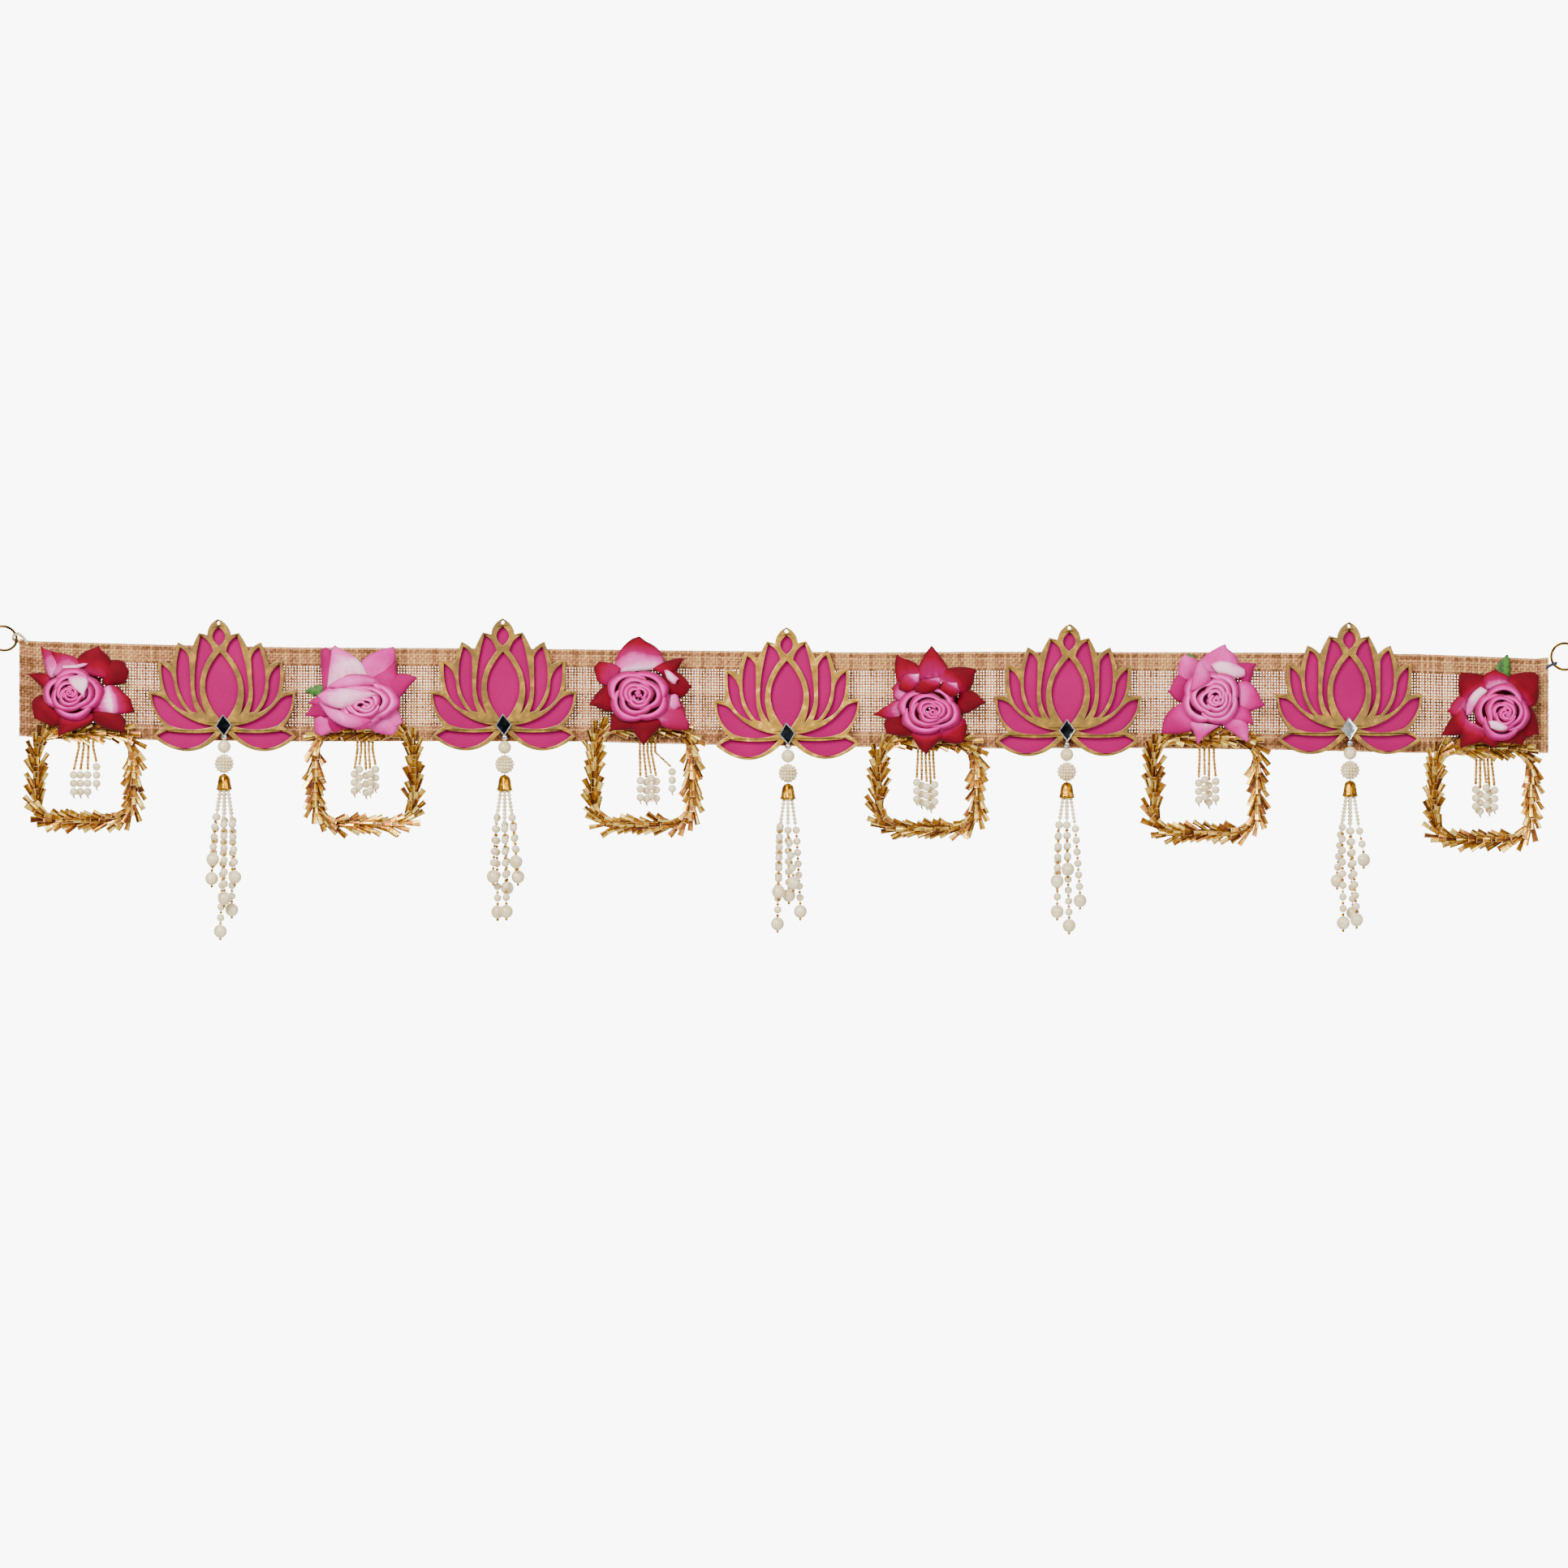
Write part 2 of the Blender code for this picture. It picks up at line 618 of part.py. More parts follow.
def shaped_round(name, sides, ring_count, place_ring, back, front):
    """A closed round form: a sphere whose rings and poles are put where place_ring says."""
    bpy.ops.mesh.primitive_uv_sphere_add(segments=sides, ring_count=ring_count + 1, radius=1.0)
    obj = bpy.context.object
    for vertex in obj.data.vertices:
        latitude = math.acos(max(-1.0, min(1.0, vertex.co.z))) / math.pi
        ring = round(latitude * (ring_count + 1))
        if ring in (0, ring_count + 1):
            depth = front if ring == 0 else back
            vertex.co = (0.0, 0.0, -depth * MM)
            continue
        side = round(math.atan2(vertex.co.y, vertex.co.x) / (2 * math.pi / sides)) % sides
        x, up, depth = place_ring(ring_count - ring, side)
        vertex.co = (x * MM, up * MM, -depth * MM)
    obj.rotation_euler.x = math.radians(90)
    return obj


def petal_stations(tips):
    """The outer petals' outline: each tip, and the dip between it and the next, anticlockwise."""
    tips = sorted(tips, key=lambda tip: math.atan2(tip[1], tip[0]))
    stations = []
    for tip, following in zip(tips, tips[1:] + tips[:1]):
        share = 1 - VALLEY_DIP
        stations.append(tip)
        stations.append((share * (tip[0] + following[0]) / 2, share * (tip[1] + following[1]) / 2))
    return stations


def make_rose(number, rose, velvet, rolled, home):
    """One rose: outer petals on a peg, and the rolled petals of its bloom."""
    x, z, half_width, half_height, tips = rose
    stations = petal_stations(tips)

    def petal_ring(ring, side):
        share, depth = PETAL_RINGS[ring]
        tip_x, tip_up = stations[side]
        if share == 0.0:
            angle = math.atan2(tip_up, tip_x)
            return PEG_RADIUS * math.cos(angle), PEG_RADIUS * math.sin(angle), depth
        return share * tip_x, share * tip_up, depth

    def bloom_ring(ring, side):
        share, depth = BLOOM_RINGS[ring]
        angle = 2 * math.pi * side / BLOOM_SIDES
        swirl = 1 + BLOOM_SWIRL * math.cos(angle - SWIRL_TURN * ring) if ring > 0 else 1.0
        reach = share * swirl
        return reach * half_width * math.cos(angle), reach * half_height * math.sin(angle), depth

    petals = shaped_round("petals", len(stations), len(PETAL_RINGS), petal_ring, PETAL_BACK, PETAL_TOP)
    bloom = shaped_round("bloom", BLOOM_SIDES, len(BLOOM_RINGS), bloom_ring, BLOOM_BACK, BLOOM_TIP)
    for piece, kind, material in ((petals, "petals", velvet), (bloom, "bloom", rolled)):
        piece.location = (x * MM, 0, z * MM)
        settle(piece, f"rose_{number}_{kind}", material, home)


def make_leaves(material, home):
    """Pointed oval leaves that run in under their rose."""
    for number, x, z, length, width, lean in LEAVES:
        outline = closed_outline(((0.0, 0.0, width / 2), (0.0, -length, width / 2)))
        leaf = flat_piece(f"leaf_{number}", [outline], LEAF_LAYER)
        leaf.location.x = x * MM
        leaf.location.z = z * MM
        leaf.rotation_euler.y = math.radians(lean)
        settle(leaf, leaf.name, material, home)


def square_point(distance, width, height):
    """A point and outward direction on a rounded square, clockwise from the top left corner's end."""
    straight_x = width - 2 * FOIL_CORNER
    straight_z = height - 2 * FOIL_CORNER
    bend = FOIL_CORNER * math.pi / 2
    for quarter in range(4):
        straight = straight_x if quarter % 2 == 0 else straight_z
        across = (straight_x if quarter % 2 else straight_z) / 2 + FOIL_CORNER
        facing = math.radians(90 - 90 * quarter)
        out_x, out_z = math.cos(facing), math.sin(facing)
        if distance <= straight:
            along = distance - straight / 2
            return out_x * across + out_z * along, out_z * across - out_x * along, out_x, out_z
        distance -= straight
        if distance <= bend:
            turn = facing - distance / FOIL_CORNER
            centre_x = out_x * (across - FOIL_CORNER) + out_z * straight / 2
            centre_z = out_z * (across - FOIL_CORNER) - out_x * straight / 2
            out_x, out_z = math.cos(turn), math.sin(turn)
            return centre_x + FOIL_CORNER * out_x, centre_z + FOIL_CORNER * out_z, out_x, out_z
        distance -= bend
    return square_point(0.0, width, height)


def make_foils(material, home):
    """The foil squares: a four-sided ring laid on a rounded square, with saw edges."""
    for number, (x, z, outer_width, outer_height, way) in enumerate(FOILS, 1):
        width = outer_width - FOIL_WIDE
        height = outer_height - FOIL_WIDE
        length = 2 * (width + height) - 8 * FOIL_CORNER + 2 * math.pi * FOIL_CORNER
        stations = 2 * FOIL_TEETH
        bpy.ops.mesh.primitive_torus_add(
            major_radius=1.0, minor_radius=0.25, major_segments=stations, minor_segments=4)
        foil = settle(bpy.context.object, f"foil_{number}", material, home)
        for vertex in foil.data.vertices:
            station = round(-math.atan2(vertex.co.y, vertex.co.x) / (2 * math.pi / stations)) % stations
            tooth, end = divmod(station, 2)
            share = (tooth + (TOOTH_LENGTH if end else 0.0)) / FOIL_TEETH
            at_tip = end == 1 if way > 0 else end == 0
            square_x, square_z, out_x, out_z = square_point(share * length, width, height)
            across = math.hypot(vertex.co.x, vertex.co.y) - 1.0
            reach = FOIL_WIDE / 2 * (1.0 if at_tip else TOOTH_HEEL) * round(across / 0.25)
            lift = round(vertex.co.z / 0.25) * (FOIL_LAYER[0] - FOIL_LAYER[1]) / 2
            vertex.co = (
                (x + square_x + out_x * reach) * MM,
                (sum(FOIL_LAYER) / 2 - lift) * MM,
                (z + square_z + out_z * reach) * MM,
            )


def spray_strand(name, root_x, top, first_pearl, x, y):
    """One chain with its pearls, in world heights, with its root in the pad."""
    pad_y = sum(PAD_LAYER) / 2
    profile = [(0.0, top), (CHAIN_RADIUS, top), (CHAIN_RADIUS, first_pearl + SPRAY_PEARL / 2)]
    for pearl in range(SPRAY_PEARLS):
        profile.append((SPRAY_PEARL / 2, first_pearl - pearl * SPRAY_PITCH))
        if pearl < SPRAY_PEARLS - 1:
            profile.append((NECK_RADIUS, first_pearl - (pearl + 0.5) * SPRAY_PITCH))
    profile.append((0.0, first_pearl - (SPRAY_PEARLS - 1) * SPRAY_PITCH - SPRAY_PEARL / 2 - STOPPER))
    free = top - CHAIN_STRAIGHT
    full = first_pearl + SPRAY_PEARL / 2

    def path(z):
        share = max(0.0, min(1.0, (free - z) / (free - full)))
        return root_x + share * (x - root_x), pad_y + share * (y - pad_y)

    return bead_strand(name, profile, SPRAY_SIDES, path)


def make_sprays(material, home, cutters):
    """The bead sprays: chains with pearls, fused into a small pad on the bottom hem."""
    for number, (x, first_pearl, pitch, stray) in enumerate(SPRAYS, 1):
        name = f"pearls_{number}"
        pad_z = between(BAND_EDGE, x, 2) + PAD_ABOVE_EDGE + PAD_TALL / 2
        bpy.ops.mesh.primitive_cube_add(size=1.0, location=(x * MM, sum(PAD_LAYER) / 2 * MM, pad_z * MM))
        pad = settle(bpy.context.object, name, material, home)
        for vertex in pad.data.vertices:
            vertex.co.x *= PAD_WIDE * MM
            vertex.co.y *= abs(PAD_LAYER[1] - PAD_LAYER[0]) * MM
            vertex.co.z *= PAD_TALL * MM
        rows = [(share * pitch, y, down) for share, y, down in SPRAY_PLACES]
        if stray is not None:
            rows.append((stray, SPRAY_PLACES[0][1], -6.0))
        rows.sort()
        shapes = []
        for order, (away, y, down) in enumerate(rows):
            root_x = x + PAD_WIDE * ((order + 0.5) / len(rows) - 0.5)
            shapes.append(spray_strand(f"{name}_{order}", root_x, pad_z, first_pearl - down, x + away, y))
        join_by_union(pad, merge_meshes(name + "_chains", shapes), cutters)


def main():
    clear_scene()
    home = collection("toran door hanging")
    cutters = collection("joined strands")
    jute = finish("jute weave", "#C9A77C", 0.95)
    brass = finish("antique brass wire", "#9C7A34", 0.35, 1.0)
    cotton = finish("cotton thread", "#D9CDB0", 0.9)
    plate_paint = finish("pink enamelled board", "#C23878", 0.4)
    gold_paint = finish("gold painted board", "#B58A2E", 0.4, 0.6)
    mirror = finish("mirror lozenge", "#9AA0A4", 0.1, 1.0)
    pearl = finish("cream pearl", "#EDE6D6", 0.25)
    bead_gold = finish("cap and bead gold", "#C9931A", 0.3, 0.8)
    velvet = finish("crimson velvet petals", "#B3001E", 0.8)
    rolled = finish("pink satin petals", "#E27BB8", 0.7)
    leaf_green = finish("green satin leaf", "#6F9A1E", 0.7)
    foil = finish("gold foil leaves", "#D9A441", 0.25, 0.9)
    make_band(jute, home)
    make_rings(brass, home)
    make_ties(cotton, home)
    make_lotuses(plate_paint, gold_paint, mirror, home)
    make_drops(pearl, home)
    make_tassels(bead_gold, home, cutters)
    for number, rose in enumerate(ROSES, 1):
        make_rose(number, rose, velvet, rolled, home)
    make_leaves(leaf_green, home)
    make_foils(foil, home)
    make_sprays(pearl, home, cutters)


main()
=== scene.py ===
"""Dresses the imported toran: woven jute, cut-out lotuses, cloth roses, foil squares and beads.

The tables are in millimetres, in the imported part's own frame: X along the door head, Z up, and
the decorated side towards -Y.
"""
import math
import random

import bmesh
import bpy
from bpy.props import FloatProperty, FloatVectorProperty, IntProperty, PointerProperty
from mathutils import Euler, Matrix, Vector


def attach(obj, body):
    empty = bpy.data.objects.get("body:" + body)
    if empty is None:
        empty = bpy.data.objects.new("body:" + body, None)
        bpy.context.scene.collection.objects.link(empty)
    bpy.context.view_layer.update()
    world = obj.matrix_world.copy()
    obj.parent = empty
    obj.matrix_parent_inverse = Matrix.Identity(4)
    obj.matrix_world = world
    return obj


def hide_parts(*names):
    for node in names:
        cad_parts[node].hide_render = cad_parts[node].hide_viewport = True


bl_info = {
    "name": "Toran door hanging",
    "version": (1, 0, 0),
    "blender": (4, 5, 0),
    "location": "View3D > Sidebar > Toran",
    "description": "Weaves, cuts, folds and strings the pieces of a jute door hanging",
    "category": "Add Mesh",
}

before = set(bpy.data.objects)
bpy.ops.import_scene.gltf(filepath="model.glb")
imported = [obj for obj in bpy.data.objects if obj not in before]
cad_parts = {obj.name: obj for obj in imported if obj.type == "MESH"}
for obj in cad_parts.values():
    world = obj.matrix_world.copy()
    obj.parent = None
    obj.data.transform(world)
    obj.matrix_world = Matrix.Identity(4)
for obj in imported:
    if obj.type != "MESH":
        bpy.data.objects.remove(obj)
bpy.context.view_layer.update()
MM = 0.001

# x along the band, height of its top edge, height of its bottom edge
BAND_EDGE = (
    (-482.3, 8.2, -53.8), (-474.1, 6.7, -54.5), (-399.9, 4.6, -56.3), (-305.2, 2.6, -57.3),
    (-223.2, 2.3, -57.1), (-130.0, 1.5, -57.3), (-45.1, 0.5, -59.4), (50.2, -0.5, -60.7),
    (131.1, 0.0, -61.7), (223.2, -0.3, -61.4), (308.2, -0.5, -62.5), (401.4, -1.5, -64.5),
    (474.1, -4.4, -64.5), (482.8, -3.5, -64.5),
)
TOP_HEM, BOTTOM_HEM, LEFT_HEM, RIGHT_HEM = 12.0, 11.0, 20.0, 15.0
FRONT_WEAVE, REAR_WEAVE, WEAVE_RELIEF = -2.05, -0.5, 0.3

# name, x, depth, height and lean in degrees of each ring, and where its wire's ends overlap
RINGS = (
    ("left", -492.3, -1.2, 8.3, 28.0, 125.0),
    ("right", 492.3, -1.2, -3.1, 0.0, 215.0),
)
RING_CIRCLE, RING_WIRE, RING_OVERLAP = 8.35, 0.85, 1.2
# the stitch that ties each ring, from the front of the cloth round the wire to its back
LEFT_STITCH = (
    (-476.5, -2.9, 5.0), (-479.5, -3.2, 9.0), (-482.6, -3.1, 11.2), (-485.6, -2.9, 10.4),
    (-486.6, -1.2, 8.6), (-485.6, 0.4, 7.2), (-482.2, 0.4, 6.2), (-479.0, 0.2, 5.4),
)
RIGHT_STITCH = (
    (480.6, -2.9, -10.4), (483.4, -3.1, -8.6), (486.6, -2.6, -7.2), (487.4, -1.2, -7.2),
    (486.4, 0.3, -7.6), (481.0, 0.2, -9.6),
)

# The lotus from the middle of its gem: each corner is x, height and the bulge of the side that
# leaves it, clockwise. The left half is the right half mirrored.
LOTUS_OUTLINE = (
    (0.0, 67.1, 1.8), (7.3, 57.0, 0.0), (12.4, 58.4, 0.3), (18.2, 46.8, 0.6), (26.1, 52.4, 0.2),
    (30.6, 37.9, 0.8), (38.9, 40.7, 0.9), (38.0, 20.9, 0.5), (46.2, 21.4, 2.0), (37.3, -1.0, 0.7),
    (45.1, -7.2, 10.5), (1.5, -4.2, 0.0),
)
LOTUS_OPENINGS = (
    ((11.6, 56.6, 1.0), (17.1, 25.6, 2.1), (10.4, 6.2, -6.2), (4.0, 46.6, 1.6)),
    ((24.9, 49.3, 1.3), (27.9, 26.9, 1.6), (19.6, 8.6, 0.0), (16.2, 8.0, -0.8), (19.4, 22.3, 0.0),
     (19.4, 42.6, 0.9)),
    ((37.3, 38.9, 0.7), (35.8, 22.0, 2.6), (21.6, 8.0, -1.6), (29.5, 25.0, 2.2)),
    ((44.4, 19.5, 2.8), (34.0, 0.0, 2.5), (5.9, -0.2, -3.1), (34.0, 14.3, 1.4)),
    ((42.6, -6.5, 9.2), (5.6, -3.9, -1.1), (36.0, -3.3, 0.4)),
)
LOTUS_HEART = (((0.0, 62.2, 4.05), (0.0, 49.8, 4.05)), ((0.0, 46.2, 10.45), (0.0, 1.5, 10.45)))
NAIL_HOLE, NAIL_HOLE_HEIGHT = 2.3, 64.6
PLATE_BACK, PLATE_THICK, FRAME_BACK, FRAME_THICK = -2.7, 2.5, -5.5, 2.5
# x and height of the gem, lean of the lotus, slant of its template, lean of the gem in degrees
LOTUSES = (
    (-352.5, -46.7, 0.0, -3.2, -3.0), (-176.4, -46.3, 0.0, -0.6, -4.0),
    (2.1, -51.9, -0.7, 0.2, -6.0), (178.1, -49.8, 0.0, 1.4, -2.0), (355.7, -48.6, 0.0, 0.0, -5.0),
)
GEM_BACK, GEM_WIDE, GEM_TALL = -8.3, 10.5, 14.5
SCORCH_RAISED, WELD = 0.12, 0.02

# where each strand stands in its bundle: x, depth, and depth of its end pearl
STRAND_PLACES = {
    "front_left": (-5.3, -2.65, -4.9), "front_middle": (0.0, -2.65, -7.0),
    "front_right": (5.3, -2.65, -4.9), "rear_left": (-5.3, 2.65, 1.6),
    "rear_middle": (0.0, 2.65, 1.6), "rear_right": (5.3, 2.65, 1.6),
}
# x, depth and height of the pearl, then x and drop of the end pearl of each strand
TASSELS = (
    (-352.5, -5.8, -59.9, {
        "front_left": (-6.6, 43.7), "front_middle": (1.0, 68.2), "front_right": (7.3, 54.8),
        "rear_left": (-8.0, 55.9), "rear_middle": (-2.6, 89.1), "rear_right": (4.6, 75.5)}),
    (-175.9, -5.8, -60.4, {
        "front_left": (-6.9, 54.0), "front_middle": (1.5, 75.9), "front_right": (7.4, 44.7),
        "rear_left": (-4.5, 76.5), "rear_middle": (1.5, 61.3), "rear_right": (8.3, 54.3)}),
    (2.5, -5.8, -65.9, {
        "front_left": (-6.0, 58.1), "front_middle": (3.4, 52.6),
        "rear_left": (-6.6, 78.4), "rear_middle": (0.6, 60.5), "rear_right": (7.8, 70.6)}),
    (178.1, -5.8, -65.0, {
        "front_left": (-6.4, 52.3), "front_middle": (0.2, 44.8), "front_right": (8.0, 64.6),
        "rear_left": (-6.0, 71.6), "rear_middle": (1.5, 80.4)}),
    (356.3, -6.9, -64.0, {
        "front_left": (-4.9, 79.5), "front_middle": (3.3, 77.5), "front_right": (8.0, 39.9),
        "rear_left": (-8.0, 53.2), "rear_middle": (1.9, 73.4)}),
)
CAP_TALL, CAP_BELOW_PEARL, BALL_BELOW_PEARL = 10.0, 17.25, 10.8
# radius and height of each ring of the bell cap, from its mouth up
CAP_RINGS = ((4.75, 0.0), (4.5, 1.2), (4.05, 3.2), (3.85, 5.6), (3.35, 8.2), (2.1, 9.5), (0.9, 10.0))
CAP_FLUTES, CAP_FLUTE_SHARE, CAP_WALL = 8, 0.06, 0.4
BALL_SEED, BALL_ROWS, BEAD_PITCH = 2.1, 8, 7.1
ROOT_CIRCLE, SPREAD_BELOW = 2.7, 20.0

# x, height of the first pearl, then for each chain x, depth, how far its first pearl hangs
# below that, and how many pearls it has
SPRAYS = (
    (-439.8, -77.8, ((-7.3, -7.0, 0.0, 3), (-3.6, -3.0, 0.0, 3), (1.6, -7.4, 0.0, 3),
                     (6.6, -3.4, -5.2, 3))),
    (-264.0, -76.3, ((-6.6, -4.0, 1.0, 3), (-3.2, -7.6, -2.0, 3), (0.6, -2.8, 2.0, 3),
                     (3.6, -7.2, 1.0, 3), (6.6, -3.0, -2.0, 3))),
    (-86.0, -81.4, ((-4.4, -7.4, 0.0, 3), (-0.6, -2.8, 1.0, 3), (2.4, -7.2, -1.5, 3),
                    (5.6, -3.0, 0.5, 3), (15.6, -5.6, -5.6, 3))),
    (89.2, -82.5, ((-5.6, -6.4, 0.0, 3), (-2.4, -2.8, 2.0, 3), (0.6, -7.4, 3.0, 3),
                   (3.4, -3.0, 4.5, 3), (5.6, -7.6, 1.5, 3))),
    (266.4, -80.9, ((-5.2, -5.0, 2.0, 3), (-1.6, -7.6, 0.0, 3), (1.4, -2.8, 3.6, 3),
                    (5.4, -6.0, 1.0, 3))),
    (441.1, -86.0, ((-5.6, -6.0, 1.0, 3), (-2.4, -3.0, 4.0, 3), (0.8, -7.4, 0.0, 3),
                    (3.4, -3.0, 3.0, 3), (6.2, -6.4, 1.5, 3))),
)
PAD_ABOVE_EDGE, PAD_WIDE, PAD_DEPTH, CHAIN_STRAIGHT = 5.0, 12.0, -3.3, 10.0
CHAIN_SEED, CHAIN_PITCH, CHAIN_TWIST, SPRAY_PITCH = 1.5, 0.85, 1.15, 5.3

